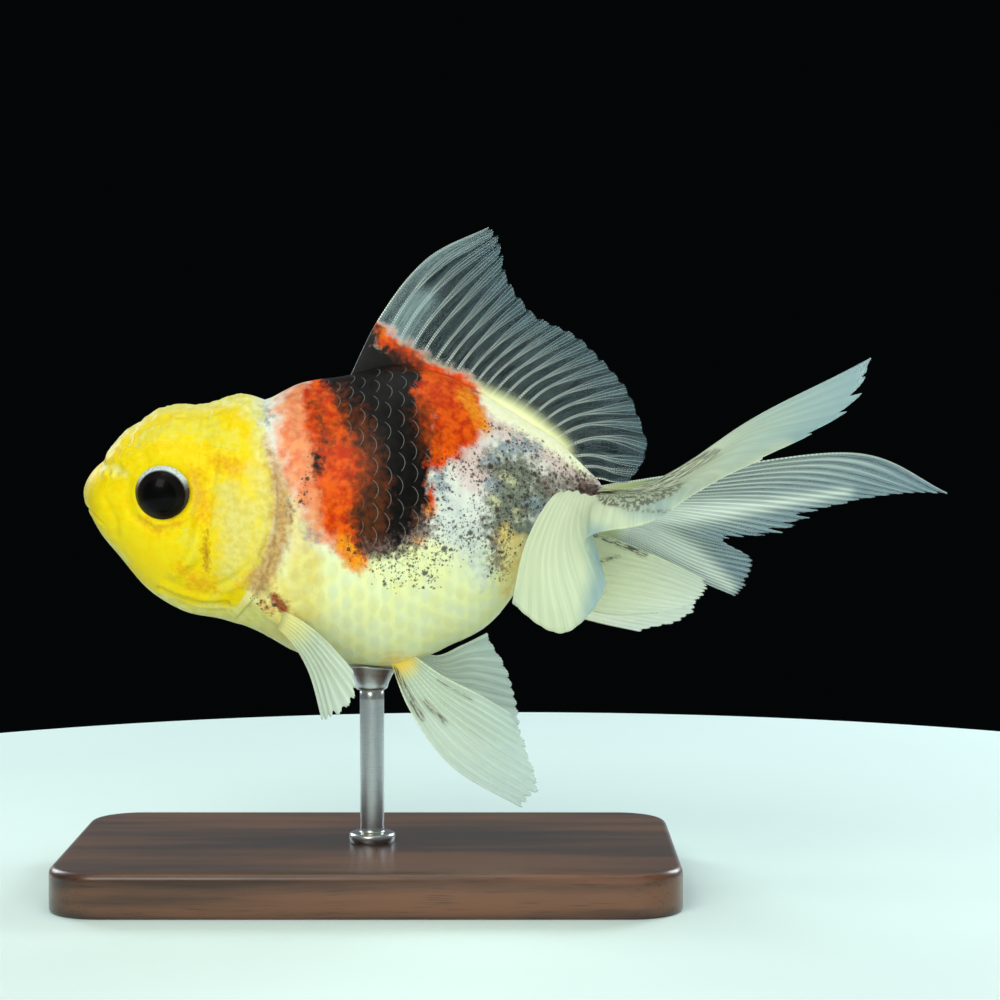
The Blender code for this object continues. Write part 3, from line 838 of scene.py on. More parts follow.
# Blue-grey spots, and one painted shadow of a fin on the flank.
BLUE_SPOTS_AND_PAINTED_FIN_SHADOW = Marking(
    "blue", (104, 122, 128), (152, 166, 168),
    (
        ((15.4, 50.6, 0.7), (17.0, 51.0, 1.0), (18.8, 50.6, 0.7)),
        ((13.8, 46.7, 0.8), (14.2, 46.4, 0.6)),
        # Painted shadow of a fin on the flank.
        ((18.6, 44.6, 0.7), (20.2, 43.2, 1.0), (19.6, 41.6, 0.8)),
        ((13.4, 49.4, 0.5), (14.2, 49.6, 0.4)),
        ((-6.4, 41.4, 0.7), (-5.4, 41.0, 0.5)), ((-12.1, 54.4, 0.8), (-11.6, 54.0, 0.5)),
        ((7.9, 48.0, 0.8), (8.4, 46.4, 0.7)),
    ),
    soft=0.7, ragged=1.6, grain=0.7, strength=0.85,
)
SALMON = Marking(
    "salmon", (222, 98, 34), (232, 142, 76),
    (((-8.2, 56.2, 2.0), (-7.6, 52.4, 2.8), (-6.4, 48.6, 2.9), (-5.4, 45.4, 2.6), (-4.4, 42.4, 1.8)),
     ((-10.0, 52.0, 0.6), (-9.2, 49.0, 0.8), (-8.2, 45.8, 0.8))),
    soft=1.5, ragged=1.8, grain=1.3, strength=0.9,
)
ORANGE = Marking(
    "orange", (188, 44, 0), (226, 90, 4),
    (
        ((-4.9, 57.2, 2.6), (-3.8, 53.8, 3.2), (-2.6, 50.4, 3.3), (-1.9, 46.8, 3.6), (-1.8, 43.4, 3.2),
         (-1.6, 40.6, 2.2), (-1.0, 38.6, 1.3)),
        ((-0.4, 58.4, 3.4), (2.2, 54.4, 4.2), (3.4, 51.0, 3.6), (4.0, 48.0, 3.0), (3.2, 44.4, 2.6)),
        ((5.8, 53.2, 2.2), (5.4, 55.6, 2.2), (6.4, 58.2, 2.4), (9.4, 56.2, 3.2), (10.4, 54.0, 2.9),
         (8.8, 51.9, 2.6), (7.9, 49.8, 1.5)),
        ((0.4, 64.2, 1.0), (1.6, 62.6, 1.6), (4.0, 60.8, 1.6), (7.0, 59.2, 1.3), (10.4, 57.3, 0.9)),
        ((7.1, 45.6, 0.8), (6.9, 44.2, 0.8)),
    ),
    soft=0.75, ragged=1.3, grain=1.3,
)
AMBER = Marking(
    "amber", (238, 164, 30), (236, 124, 22),
    (
        ((-2.6, 40.2, 1.0), (-1.0, 38.0, 1.1)), ((7.3, 44.0, 0.5), (6.3, 43.2, 0.3)),
        ((5.4, 40.9, 0.5), (6.2, 40.7, 0.4)),
        ((10.8, 56.6, 0.7), (12.2, 54.6, 0.7), (13.2, 52.9, 0.6)),
    ),
    soft=0.6, ragged=1.1, grain=0.6, strength=0.8,
)
UMBER = Marking(
    "umber", (66, 30, 12), (104, 44, 12),
    (
        ((-1.4, 54.6, 1.0), (0.0, 50.4, 1.4), (0.6, 46.4, 1.8), (0.2, 42.6, 1.5)),
        ((-3.4, 56.6, 0.9), (-2.0, 52.4, 0.8)),
        ((-6.2, 56.0, 0.3), (-5.4, 54.0, 0.5), (-4.4, 51.4, 0.3)),
        ((3.4, 61.6, 0.7), (5.6, 60.2, 0.7)), ((6.2, 55.2, 0.9), (7.0, 51.2, 0.9)),
    ),
    soft=1.2, ragged=2.2, grain=0.8, strength=0.8,
)
BLACK = Marking(
    "black", (7, 7, 7), (17, 15, 12),
    (
        ((-4.6, 58.6, 0.9), (-2.2, 57.8, 2.3), (0.6, 57.4, 4.1), (1.4, 55.4, 4.2), (2.2, 53.2, 3.8),
         (3.2, 51.0, 3.4), (3.7, 48.8, 3.3), (3.6, 46.4, 3.4), (3.0, 44.2, 3.5), (2.0, 42.2, 3.0),
         (1.5, 40.8, 2.1)),
        ((-1.2, 60.4, 1.4), (-0.4, 62.2, 1.2), (0.1, 64.0, 0.7)), ((0.6, 60.4, 2.2), (4.4, 58.8, 1.6)),
        ((-5.6, 50.2, 0.35), (-5.3, 49.0, 0.6), (-5.9, 48.2, 0.4)),
        ((-9.0, 43.8, 0.3), (-8.8, 42.8, 0.25)),
        ((24.0, 46.0, 0.5), (25.6, 45.4, 0.8), (26.8, 44.8, 0.9)),
    ),
    soft=0.55, ragged=1.4, grain=1.1,
)
BISTRE = Marking(
    "bistre", (44, 27, 17), (88, 42, 16),
    (((0.4, 45.6, 1.4), (0.2, 43.0, 2.0), (0.6, 40.6, 1.6)), ((5.9, 43.0, 0.7), (6.6, 42.2, 0.7))),
    soft=0.9, ragged=2.2, grain=0.9, strength=0.95,
)
MOTTLE = Marking(
    "mottle", (66, 48, 46), (128, 106, 98),
    (((20.2, 46.4, 0.9), (22.6, 46.6, 1.2), (25.4, 46.0, 1.3)), ((14.3, 40.6, 0.6), (14.6, 37.8, 0.8)),
     ((-8.9, 44.4, 0.4), (-8.8, 42.9, 0.35)), ((6.6, 41.9, 0.9), (3.8, 39.6, 0.9), (0.6, 39.6, 0.6))),
    soft=0.8, ragged=2.4, grain=0.55, strength=0.75,
)
# Painted shade: a tan-brown band in the recess behind the gill cover's free edge.
GILL_RECESS_PAINTED_SHADE = Marking(
    "gill_shade", (168, 128, 74), (200, 168, 108),
    (((-11.6, 51.8, 0.2), (-10.2, 48.4, 0.5), (-9.5, 45.0, 0.8), (-9.5, 41.6, 1.0),
      (-10.8, 38.2, 1.1), (-12.2, 35.4, 1.2)),),
    soft=0.9, ragged=1.1, grain=0.8, both_sides=True,
)
ROOT_SPOT = Marking(
    "root_spot", (134, 62, 34), (180, 104, 60),
    (((-10.5, 34.2, 0.5), (-9.7, 33.0, 0.75), (-9.2, 32.4, 0.4)),
     ((-11.9, 33.2, 0.2), (-10.9, 32.3, 0.3)),
     ((-8.6, 31.6, 0.2), (-7.2, 30.7, 0.25))),
    soft=0.5, ragged=0.8, grain=0.5, both_sides=True,
)
YELLOW = Marking(
    "yellow", (230, 200, 0), (231, 209, 18), (),
    ((24.0, -19.0), (29.0, -17.6), (31.5, -15.8), (34.0, -14.0), (36.0, -12.7), (40.0, -11.1),
     (44.0, -10.2), (48.0, -10.6), (52.0, -12.0), (55.0, -13.2), (57.0, -13.8), (62.0, -14.2)),
    soft=0.16, ragged=0.2, grain=1.6, both_sides=True,
)
OPERCLE = Marking(
    "opercle", (206, 192, 96), (220, 210, 124),
    (((-15.4, 45.6, 1.4), (-14.0, 43.0, 2.7), (-14.4, 39.6, 2.1), (-15.6, 37.0, 1.0)),
     ((-12.0, 48.0, 1.0), (-11.2, 44.4, 1.4), (-11.6, 40.8, 1.2), (-13.2, 37.6, 0.8))),
    soft=1.7, ragged=1.9, grain=1.0, strength=0.88, both_sides=True,
)
# Painted rim light: a pale band along the head's top, chin and snout outlines, as light showing through
# the skin at its edges, with a few pale patches.
HEAD_RIM_PAINTED_LIGHT = Marking(
    "pale_head", (214, 208, 98), (226, 225, 146),
    (
        ((-30.2, 50.2, 0.3), (-28.4, 52.4, 0.6), (-24.4, 55.4, 0.9), (-19.0, 55.8, 1.0),
         (-14.6, 56.8, 1.2), (-12.8, 54.6, 1.0)),
        ((-12.4, 52.4, 0.8), (-11.8, 49.6, 0.6)),
        ((-26.6, 34.0, 1.0), (-21.0, 31.2, 1.6), (-14.6, 30.6, 1.9), (-12.8, 31.6, 1.5)),
        ((-32.7, 46.4, 0.4), (-32.9, 44.4, 0.3), (-31.6, 41.4, 0.4), (-28.4, 37.6, 0.7)),
        ((-30.2, 48.4, 0.4), (-27.4, 47.8, 0.3)),
    ),
    soft=0.7, ragged=0.8, grain=1.3, strength=0.85, both_sides=True,
)
CREAM = Marking(
    "cream", (216, 208, 88), (222, 208, 44),
    (((-27.0, 51.0, 0.2), (-24.4, 52.4, 0.7), (-20.8, 53.0, 1.1), (-17.6, 53.0, 1.3),
      (-15.2, 51.6, 1.0)),
     ((-20.4, 40.4, 0.9), (-20.2, 38.4, 0.6)),
     ((-17.0, 34.8, 0.5), (-13.2, 36.6, 0.5), (-11.4, 39.0, 0.4))),
    soft=0.7, ragged=2.4, grain=0.9, strength=0.8, both_sides=True,
)
RUST = Marking(
    "rust", (214, 138, 16), (226, 168, 24),
    (
        ((-19.5, 47.9, 0.8), (-18.7, 45.6, 0.9), (-18.4, 43.0, 0.6)),
        ((-16.9, 49.3, 0.7), (-14.9, 48.6, 0.8)),
        ((-25.6, 42.5, 0.2), (-23.4, 41.6, 0.3), (-21.2, 42.5, 0.2)),
        ((-21.0, 37.2, 0.4), (-19.4, 35.6, 0.9), (-17.8, 35.0, 0.6)),
        ((-12.4, 37.0, 0.2), (-14.6, 35.2, 0.2)),
    ),
    soft=1.0, ragged=1.5, grain=0.6, strength=0.7, both_sides=True,
)
# Painted shade: orange-brown darkening along the groove behind the cheek, where the cheek's edge shades
# it.
GROOVE_PAINTED_SHADE = Marking(
    "groove", (150, 92, 16), (190, 132, 20),
    (((-17.9, 41.6, 0.05), (-18.2, 39.4, 0.4), (-18.1, 37.2, 0.3)),),
    soft=0.45, ragged=0.7, grain=0.4, strength=0.75, both_sides=True,
)
# Painted shade: an olive-brown band along the rear rim of the eye socket.
EYE_RIM_PAINTED_SHADE = Marking(
    "eye_shade", (176, 150, 70), (206, 176, 60),
    (((-19.4, 47.2, 0.1), (-19.0, 45.4, 0.3), (-19.6, 43.4, 0.1)),),
    soft=0.5, ragged=0.5, grain=0.5, strength=0.6, both_sides=True,
)
MARKINGS = (
    BELLY, CHEST, REAR, PALE, OLIVE, STRAW, RIDGE_PALE_AND_PAINTED_LIGHT, VENT, BLUE_SPOTS_AND_PAINTED_FIN_SHADOW, SALMON, ORANGE, AMBER, BLACK, UMBER,
    BISTRE, MOTTLE, YELLOW, OPERCLE, HEAD_RIM_PAINTED_LIGHT, CREAM, RUST, GROOVE_PAINTED_SHADE, EYE_RIM_PAINTED_SHADE, GILL_RECESS_PAINTED_SHADE,
    ROOT_SPOT,
)
SPECKLED: tuple[Chain, ...] = (
    ((8.0, 48.8, 1.2), (12.6, 48.6, 2.0), (17.6, 46.0, 3.6), (23.0, 46.4, 2.4), (26.0, 45.6, 1.6)),
    ((13.4, 53.2, 0.4), (17.6, 51.0, 1.1), (22.0, 48.2, 1.3)),
    ((14.8, 43.4, 2.4), (14.9, 39.6, 1.9), (14.6, 37.0, 1.2)),
    ((-1.2, 39.8, 1.2), (2.0, 39.2, 2.4), (5.6, 39.4, 2.8), (9.0, 39.6, 1.8)),
    ((3.6, 37.0, 1.2), (7.0, 36.8, 1.3)),
    ((6.6, 43.0, 1.6), (8.8, 44.4, 1.2), (8.0, 47.0, 1.2)),
    ((8.8, 42.0, 1.4), (11.0, 40.6, 1.9), (12.8, 43.6, 1.8)), ((0.4, 36.6, 0.3), (2.6, 35.4, 0.3)),
    ((-12.4, 33.6, 0.6), (-10.6, 33.4, 0.5)), ((-5.0, 52.6, 0.2), (-6.4, 47.6, 0.4), (-7.4, 44.6, 0.3)),
)


@dataclass(frozen=True)
class Coat:
    """Where the markings lie, for every piece of the fish.

    Each speck size is a cell's width in millimetres, the largest spot as a share of it, and how
    many cells hold one.
    """

    speck_colour: Colour = (54, 42, 40)
    speck_strength: float = 0.88
    speck_sizes: tuple[Point, ...] = (
        (0.24, 0.48, 0.80), (0.40, 0.48, 0.86), (0.66, 0.42, 0.62), (1.05, 0.38, 0.42),
    )
    speck_bend: float = 0.34
    deepest: float = 9.0
    drift_along: Point = (2.4, 10.0, -1.6)
    drift_up: Point = (2.0, 9.0, 0.7)

    def side_view(self, points: Array) -> tuple[Array, Array]:
        """Each point's place along the fish and height as the pattern has it.

        On the right flank the pattern drifts, so that the two sides differ as on a real fish.

        Args:
            points: plan points.

        Returns:
            The places along the fish, and the heights.
        """
        right = ramp(points[:, 1], -0.5, 6.5)
        moved = []
        for seed, column, drift in ((5, 0, self.drift_along), (6, 2, self.drift_up)):
            reach, size, shift = drift
            moved.append(points[:, column] + right * (reach * lumps(points, size, seed) + shift))
        return moved[0], moved[1]

    def write(self, made: bpy.types.Object, points: Array) -> None:
        """Stores every marking's depth at the vertices of a piece.

        Args:
            made: the piece.
            points: its vertices in plan millimetres.
        """
        drifted = self.side_view(points)
        plain = points[:, 0], points[:, 2]
        depths = {"specks": deepest_in(*drifted, SPECKLED)}
        for marking in MARKINGS:
            x, z = plain if marking.both_sides else drifted
            if marking.line:
                heights, edge = np.array(marking.line).T
                depths[marking.name] = np.interp(z, heights, edge) - x
            else:
                depths[marking.name] = deepest_in(x, z, marking.chains)
        for name, depth in depths.items():
            write_values(made, name, np.clip(depth, -self.deepest, self.deepest))

    def group(self) -> bpy.types.NodeTree:
        """The shader group that turns the stored markings into the coat's colour.

        Dark is the black marking's mask, and Ink is the mask of all that runs onto the fins.
        """
        tree = bpy.data.node_groups.new("coat_markings", "ShaderNodeTree")
        for label, kind in (("Color", "Color"), ("Dark", "Float"), ("Ink", "Float")):
            tree.interface.new_socket(label, in_out="OUTPUT", socket_type=f"NodeSocket{kind}")
        wiring = Wiring(tree)
        where = wiring.place()
        colour, masks = tint(BASE_COAT), {}
        for number, marking in enumerate(MARKINGS):
            own = wiring.vector("ADD", where, (number * 17.0, 0.0, 0.0))
            cloud = wiring.noise(own, marking.grain, 4.0)
            push = wiring.scaled(cloud, 2.4 * marking.ragged, -1.2 * marking.ragged)
            depth = wiring.math("ADD", wiring.stored(marking.name), push)
            mask = wiring.step(depth, -marking.soft, marking.soft)
            masks[marking.name] = mask = wiring.times(mask, marking.strength)
            fine = wiring.step(wiring.noise(own, 0.8 * marking.grain, 4.0), 0.32, 0.68)
            colour = wiring.mix(mask, colour, wiring.mix(fine, marking.colour, marking.shade))
        colour = wiring.mix(self.specks(wiring, where), colour, self.speck_colour)
        dark = masks["black"]
        ink = wiring.math("MAXIMUM", masks["orange"], dark)
        wiring.add("NodeGroupOutput", {"Color": colour, "Dark": dark, "Ink": ink})
        return tree

    def specks(self, wiring: Wiring, where: bpy.types.NodeSocket) -> bpy.types.NodeSocket:
        """The mask of the small dark spots, from fine dots to blots.

        Args:
            wiring: adds to the markings' group.
            where: the place on the piece.

        Returns:
            The mask.
        """
        spread = wiring.step(wiring.stored("specks"), -1.0, 1.5)
        patchy = wiring.step(wiring.noise(where, 1.3), 0.28, 0.62)
        density = wiring.times(spread, wiring.scaled(patchy, 0.65, 0.35))
        waves = {"Vector": where, "Scale": 6.0, "Detail": 1.0}
        bend = wiring.add("ShaderNodeTexNoise", waves).outputs["Color"]
        bent = wiring.vector("MULTIPLY_ADD", bend, (self.speck_bend,) * 3, where)
        found = 0.0
        for cell, most, often in self.speck_sizes:
            spots = wiring.add("ShaderNodeTexVoronoi", {"Vector": bent, "Scale": 1.0 / cell})
            parts = wiring.add("ShaderNodeSeparateColor", {0: spots.outputs["Color"]}).outputs
            chosen = wiring.math("LESS_THAN", parts[0], wiring.times(density, often))
            radius = wiring.scaled(parts[1], 0.6 * most, 0.4 * most)
            edge = wiring.math("SUBTRACT", radius, spots.outputs["Distance"])
            spot = wiring.times(wiring.step(edge, -0.11, 0.15), chosen)
            found = wiring.math("MAXIMUM", found, spot)
        return wiring.times(found, self.speck_strength)


# ---- Finishes ----

FLESH = (1.0, 0.62, 0.3)
FIN_TISSUE = (1.0, 0.95, 0.9)


def glow(weight: float, radius: Point, depth: float) -> dict[str, object]:
    """The shader's values for light that spreads under a surface. depth is in millimetres."""
    return {"Subsurface_Weight": weight, "Subsurface_Radius": radius, "Subsurface_Scale": depth * MM}


@dataclass(frozen=True)
class SkinFinish:
    """Moist skin with the coat's markings and a fine grain."""

    grain: float = 0.22
    fold: float = 1.10
    relief: float = 0.22
    roughness: float = 0.34
    mottled: float = 0.24

    def make(self, coat: bpy.types.NodeTree) -> bpy.types.Material:
        """The skin's material.

        Args:
            coat: the shader group of the markings.

        Returns:
            The material.
        """
        paint = Paint("goldfish_skin")
        where = paint.place()
        pores = paint.noise(where, self.grain, 3.0)
        height = paint.scaled(paint.noise(where, self.fold), 1.6, pores)
        return paint.dress(
            Base_Color=paint.add("ShaderNodeGroup", node_tree=coat).outputs["Color"],
            Normal=paint.bump(height, self.relief, 0.06),
            Roughness=paint.scaled(pores, self.mottled, self.roughness),
            Coat_Weight=0.02, Coat_Roughness=0.2, Specular_IOR_Level=0.11, **glow(0.22, FLESH, 1.1),
        )


@dataclass(frozen=True)
class ScaleFinish:
    """Clear, thin scales with the coat's markings under them, pale hind edges, ribs and rings."""

    edge_width: float = 0.075
    edge_colour: Colour = (184, 182, 168)
    edge_share: float = 0.04
    edge_on_black: float = 0.26
    ribs: float = 60.0
    rings: float = 52.0
    roughness: float = 0.29
    mottled: float = 0.22

    def make(self, coat: bpy.types.NodeTree) -> bpy.types.Material:
        """The scales' material.

        Args:
            coat: the shader group of the markings.

        Returns:
            The material.
        """
        paint = Paint("goldfish_scale")
        marks = paint.add("ShaderNodeGroup", node_tree=coat).outputs
        rim = paint.stored("rim")
        broken = paint.noise(paint.place(), 0.7)
        edge = paint.opposite(paint.step(rim, 0.3 * self.edge_width, 1.5 * self.edge_width))
        edge = paint.times(edge, paint.step(broken, 0.18, 0.48))
        shown = paint.times(edge, paint.scaled(marks["Dark"], self.edge_on_black, self.edge_share))
        ribs = paint.math("SINE", paint.times(paint.stored("fan"), self.ribs))
        rings = paint.math("SINE", paint.times(rim, self.rings))
        return paint.dress(
            Base_Color=paint.mix(shown, marks["Color"], self.edge_colour),
            Normal=paint.bump(paint.scaled(ribs, 0.6, rings), 0.06, 0.02),
            Roughness=paint.scaled(broken, self.mottled, self.roughness),
            Coat_Weight=0.02, Coat_Roughness=0.2, Specular_IOR_Level=0.09, **glow(0.18, FLESH, 0.9),
        )


@dataclass(frozen=True)
class FinFinish:
    """Clear fin skin: milky behind each ray and at its root, and streaked between.

    gap and tissue are its colours between and along the rays, tip is the tint of its margin, and
    clear and dense are how opaque it is. root_end is where the root's colour ends, thinned how
    much clearer the skin grows outwards, streak the width of its streaks, band how milky it is
    along the rays, relief how far they stand out, and merged where it has faded in from the body.
    inked skin takes the coat's black and orange. blot and shade are the colours of dark flecks
    and of the skin round them.
    """

    name: str
    gap: Colour
    tissue: Colour
    root: Colour
    tip: Colour
    clear: float
    dense: float
    root_end: float = 0.14
    thinned: float = 0.0
    streak: float = 0.16
    band: float = 0.45
    relief: float = 0.18
    merged: float = 0.0
    inked: bool = False
    blot: Colour = (52, 50, 46)
    shade: Colour = (150, 156, 118)

    def make(self, coat: bpy.types.NodeTree) -> bpy.types.Material:
        """The fin's material.

        Args:
            coat: the shader group of the markings.

        Returns:
            The material.
        """
        paint = Paint(self.name)
        along, lane, milk, spotted = map(paint.stored, ("along", "lane", "milk", "blot"))
        drawn = paint.noise(paint.pair(lane, paint.times(along, 0.5)), self.streak, 3.0)
        streak = paint.step(drawn, 0.32, 0.72)
        apart = paint.math("SUBTRACT", paint.math("FRACT", paint.math("ADD", lane, 0.5)), 0.5)
        spread = paint.scaled(along, 0.34, 0.14)
        beside = paint.opposite(paint.step(paint.math("ABSOLUTE", apart), 0.0, spread))
        share = paint.scaled(beside, self.band, paint.times(streak, 0.35))
        share = paint.math("MULTIPLY_ADD", milk, 0.55, share, clamp=True)

        near_root = paint.opposite(paint.step(along, 0.30 * self.root_end, self.root_end))
        outer = paint.step(along, 0.40, 1.0)
        tinted = paint.times(outer, paint.scaled(milk, -0.75, 0.75))
        colour = paint.mix(tinted, paint.mix(share, self.gap, self.tissue), self.tip)
        colour = paint.mix(near_root, colour, self.root)
        masks = [(near_root, max(self.dense, 0.95))]
        if self.inked:
            marks = paint.add("ShaderNodeGroup", node_tree=coat).outputs
            colour = paint.mix(marks["Ink"], colour, marks["Color"])
            masks.append((marks["Ink"], 0.97))
        colour = paint.mix(paint.times(paint.step(spotted, -0.5, 0.4), 0.5), colour, self.shade)
        grains = paint.noise(paint.pair(lane, paint.times(along, 4.5)), 0.30, 3.0)
        blot = paint.times(paint.step(grains, 0.44, 0.54), paint.step(spotted, -0.2, 0.15))
        masks.append((blot, 0.88))

        body = paint.scaled(share, self.dense - self.clear, self.clear)
        body = paint.scaled(outer, -self.thinned, body)
        for mask, level in masks:
            body = paint.scaled(mask, paint.math("SUBTRACT", level, body), body)
        if self.merged:
            body = paint.times(body, paint.step(along, 0.0, self.merged))
        return paint.dress(
            Base_Color=paint.mix(blot, colour, self.blot), Alpha=body,
            Normal=paint.bump(share, self.relief, 0.02), Roughness=paint.scaled(streak, 0.2, 0.40),
            Specular_IOR_Level=0.3, **glow(0.55, FIN_TISSUE, 0.8),
        )


@dataclass(frozen=True)
class RayFinish:
    """Pale bony fin rays, jointed all along and clearer towards their tips."""

    name: str
    bone: Colour
    joint: Colour
    dense: float = 0.9
    thinned: float = 0.35
    inked: bool = False

    def make(self, coat: bpy.types.NodeTree) -> bpy.types.Material:
        """The rays' material.

        Args:
            coat: the shader group of the markings.

        Returns:
            The material.
        """
        paint = Paint(self.name)
        thin = paint.step(paint.stored("along"), 0.30, 1.0)
        colour = paint.mix(paint.stored("bead"), self.joint, self.bone)
        if self.inked:
            marks = paint.add("ShaderNodeGroup", node_tree=coat).outputs
            colour = paint.mix(marks["Ink"], colour, marks["Color"])
        return paint.dress(
            Base_Color=colour, Alpha=paint.scaled(thin, -self.thinned, self.dense),
            Roughness=paint.scaled(thin, 0.15, 0.34), **glow(0.4, FIN_TISSUE, 0.3),
        )


@dataclass(frozen=True)
class EyeFinish:
    """A glassy eye: wide black pupil, near-black iris, and a silver-blue rim above."""

    pupil: float = 0.56
    iris: float = 0.90
    black: Colour = (3, 3, 3)
    brown: Colour = (16, 13, 11)
    silver: Colour = (206, 220, 224)
    grey: Colour = (150, 160, 168)
    umber: Colour = (66, 58, 50)
    shadow: Colour = (64, 56, 50)

    def make(self) -> bpy.types.Material:
        """The eye's material. It reads gaze, the angle from the eye's axis, and up, from -1 to 1."""
        paint = Paint("goldfish_eye")
        gaze, up = paint.stored("gaze"), paint.stored("up")
        fleck = paint.noise(paint.place(), 0.30, 4.0)
        wobble = paint.scaled(fleck, 0.06, paint.math("SUBTRACT", gaze, 0.03))
        colour = paint.mix(paint.step(wobble, self.pupil, self.pupil + 0.05), self.black, self.brown)
        shine = paint.mix(paint.step(up, 0.10, 0.62), self.umber, self.silver)
        rim = paint.mix(paint.step(fleck, 0.40, 0.75), shine, self.grey)
        rim = paint.mix(paint.step(up, 0.0, 0.5), self.shadow, rim)
        outer = paint.step(wobble, self.iris - 0.03, self.iris + 0.08)
        return paint.dress(
            Base_Color=paint.mix(outer, colour, rim), Roughness=paint.scaled(fleck, 0.15, 0.30),
            Coat_Weight=0.16, Coat_Roughness=0.03, Coat_IOR=1.3, Specular_IOR_Level=0.05,
        )


@dataclass(frozen=True)
class WoodFinish:
    """Dark, satin-varnished hardwood, with its grain along the base."""

    ring: float = 3.2
    pore: float = 0.55
    early: Colour = (46, 27, 17)
    late: Colour = (104, 66, 41)
    pores: Colour = (24, 14, 9)

    def make(self) -> bpy.types.Material:
        """The base's material."""
        paint = Paint("walnut_base")
        where = paint.place()
        bands = paint.noise(paint.vector("MULTIPLY", where, (0.055, 0.5, 1.0)), self.ring, 6.0)
        pores = paint.noise(paint.vector("MULTIPLY", where, (0.10, 2.2, 2.2)), self.pore)
        colour = paint.mix(paint.step(bands, 0.36, 0.66), self.early, self.late)
        return paint.dress(
            Base_Color=paint.mix(paint.times(paint.step(pores, 0.56, 0.72), 0.5), colour, self.pores),
            Normal=paint.bump(pores, 0.25, 0.05), Roughness=paint.scaled(bands, 0.14, 0.30),
            Coat_Weight=0.3, Coat_Roughness=0.22,
        )


@dataclass(frozen=True)
class SteelFinish:
    """Steel brushed round its own axis."""

    dull: Colour = (178, 180, 182)
    bright: Colour = (210, 211, 212)

    def make(self) -> bpy.types.Material:
        """The rod's material."""
        paint = Paint("brushed_steel")
        brushed = paint.vector("MULTIPLY", paint.place(), (0.25, 0.25, 14.0))
        lines = paint.noise(brushed, 0.9, 3.0)
        return paint.dress(
            Base_Color=paint.mix(lines, self.dull, self.bright), Metallic=1.0,
            Normal=paint.bump(lines, 0.05, 0.01), Roughness=paint.scaled(lines, 0.10, 0.24),
        )


@dataclass(frozen=True)
class FloorFinish:
    """A pale matt floor."""

    low: Colour = (220, 240, 235)
    high: Colour = (227, 246, 241)

    def make(self) -> bpy.types.Material:
        """The floor's material."""
        paint = Paint("pale_floor")
        cloud = paint.noise(paint.place(), 60.0, 3.0)
        return paint.dress(Base_Color=paint.mix(cloud, self.low, self.high), Roughness=0.6)


# ---- Skin ----


@dataclass(frozen=True)
class Fold:
    """A groove or ridge along a path of (x, z) in side view. A groove's height is negative."""

    path: tuple[tuple[float, float], ...]
    width: float
    height: float


FOLDS = (
    Fold(
        ((-17.1, 48.7), (-17.8, 44.3), (-18.0, 42.0), (-18.4, 40.2), (-18.3, 38.1), (-20.0, 36.7)),
        0.50, -0.28,
    ),
    Fold(((-18.7, 42.3), (-19.1, 40.3), (-20.3, 38.0), (-21.8, 36.6)), 0.75, 0.42),
    Fold(((-14.0, 46.0), (-13.6, 42.0), (-15.2, 38.4)), 2.20, 0.36),
    Fold(((-17.0, 35.2), (-15.1, 36.2), (-12.9, 38.0), (-11.5, 40.4)), 0.24, -0.24),
    Fold(((-16.4, 34.6), (-14.0, 35.6), (-12.1, 37.6), (-10.9, 40.6), (-10.6, 43.6)), 0.40, 0.22),
    Fold(((-24.0, 34.5), (-21.4, 33.3), (-18.8, 32.7), (-16.1, 33.0)), 0.28, -0.42),
    Fold(((-23.6, 35.2), (-21.0, 34.1), (-18.6, 33.5), (-16.2, 33.8)), 0.42, 0.24),
    Fold(((-22.2, 32.9), (-19.4, 32.0), (-16.4, 32.0)), 0.26, -0.26),
    Fold(((-12.0, 50.4), (-9.6, 46.9), (-8.2, 44.8), (-8.0, 42.2), (-8.6, 39.6)), 0.26, 0.16),
    Fold(((-31.2, 49.4), (-30.0, 48.7), (-28.0, 48.2)), 0.50, -0.24),
    Fold(((-26.8, 48.2), (-24.6, 49.9), (-21.2, 49.9), (-19.2, 48.2)), 0.70, 0.30),
    Fold(((-26.8, 43.0), (-23.6, 41.2), (-20.0, 42.4)), 0.50, -0.16),
    Fold(((-29.8, 44.8), (-28.7, 42.6), (-28.6, 40.6)), 0.50, -0.14),
    Fold(((-19.2, 51.2), (-16.0, 51.0), (-12.6, 50.4)), 0.40, -0.20),
    Fold(((-11.4, 36.0), (-10.4, 34.4), (-8.6, 33.2)), 0.60, 0.26),
    Fold(((-12.9, 33.4), (-10.6, 31.4), (-8.6, 30.4)), 0.80, 0.30),
)


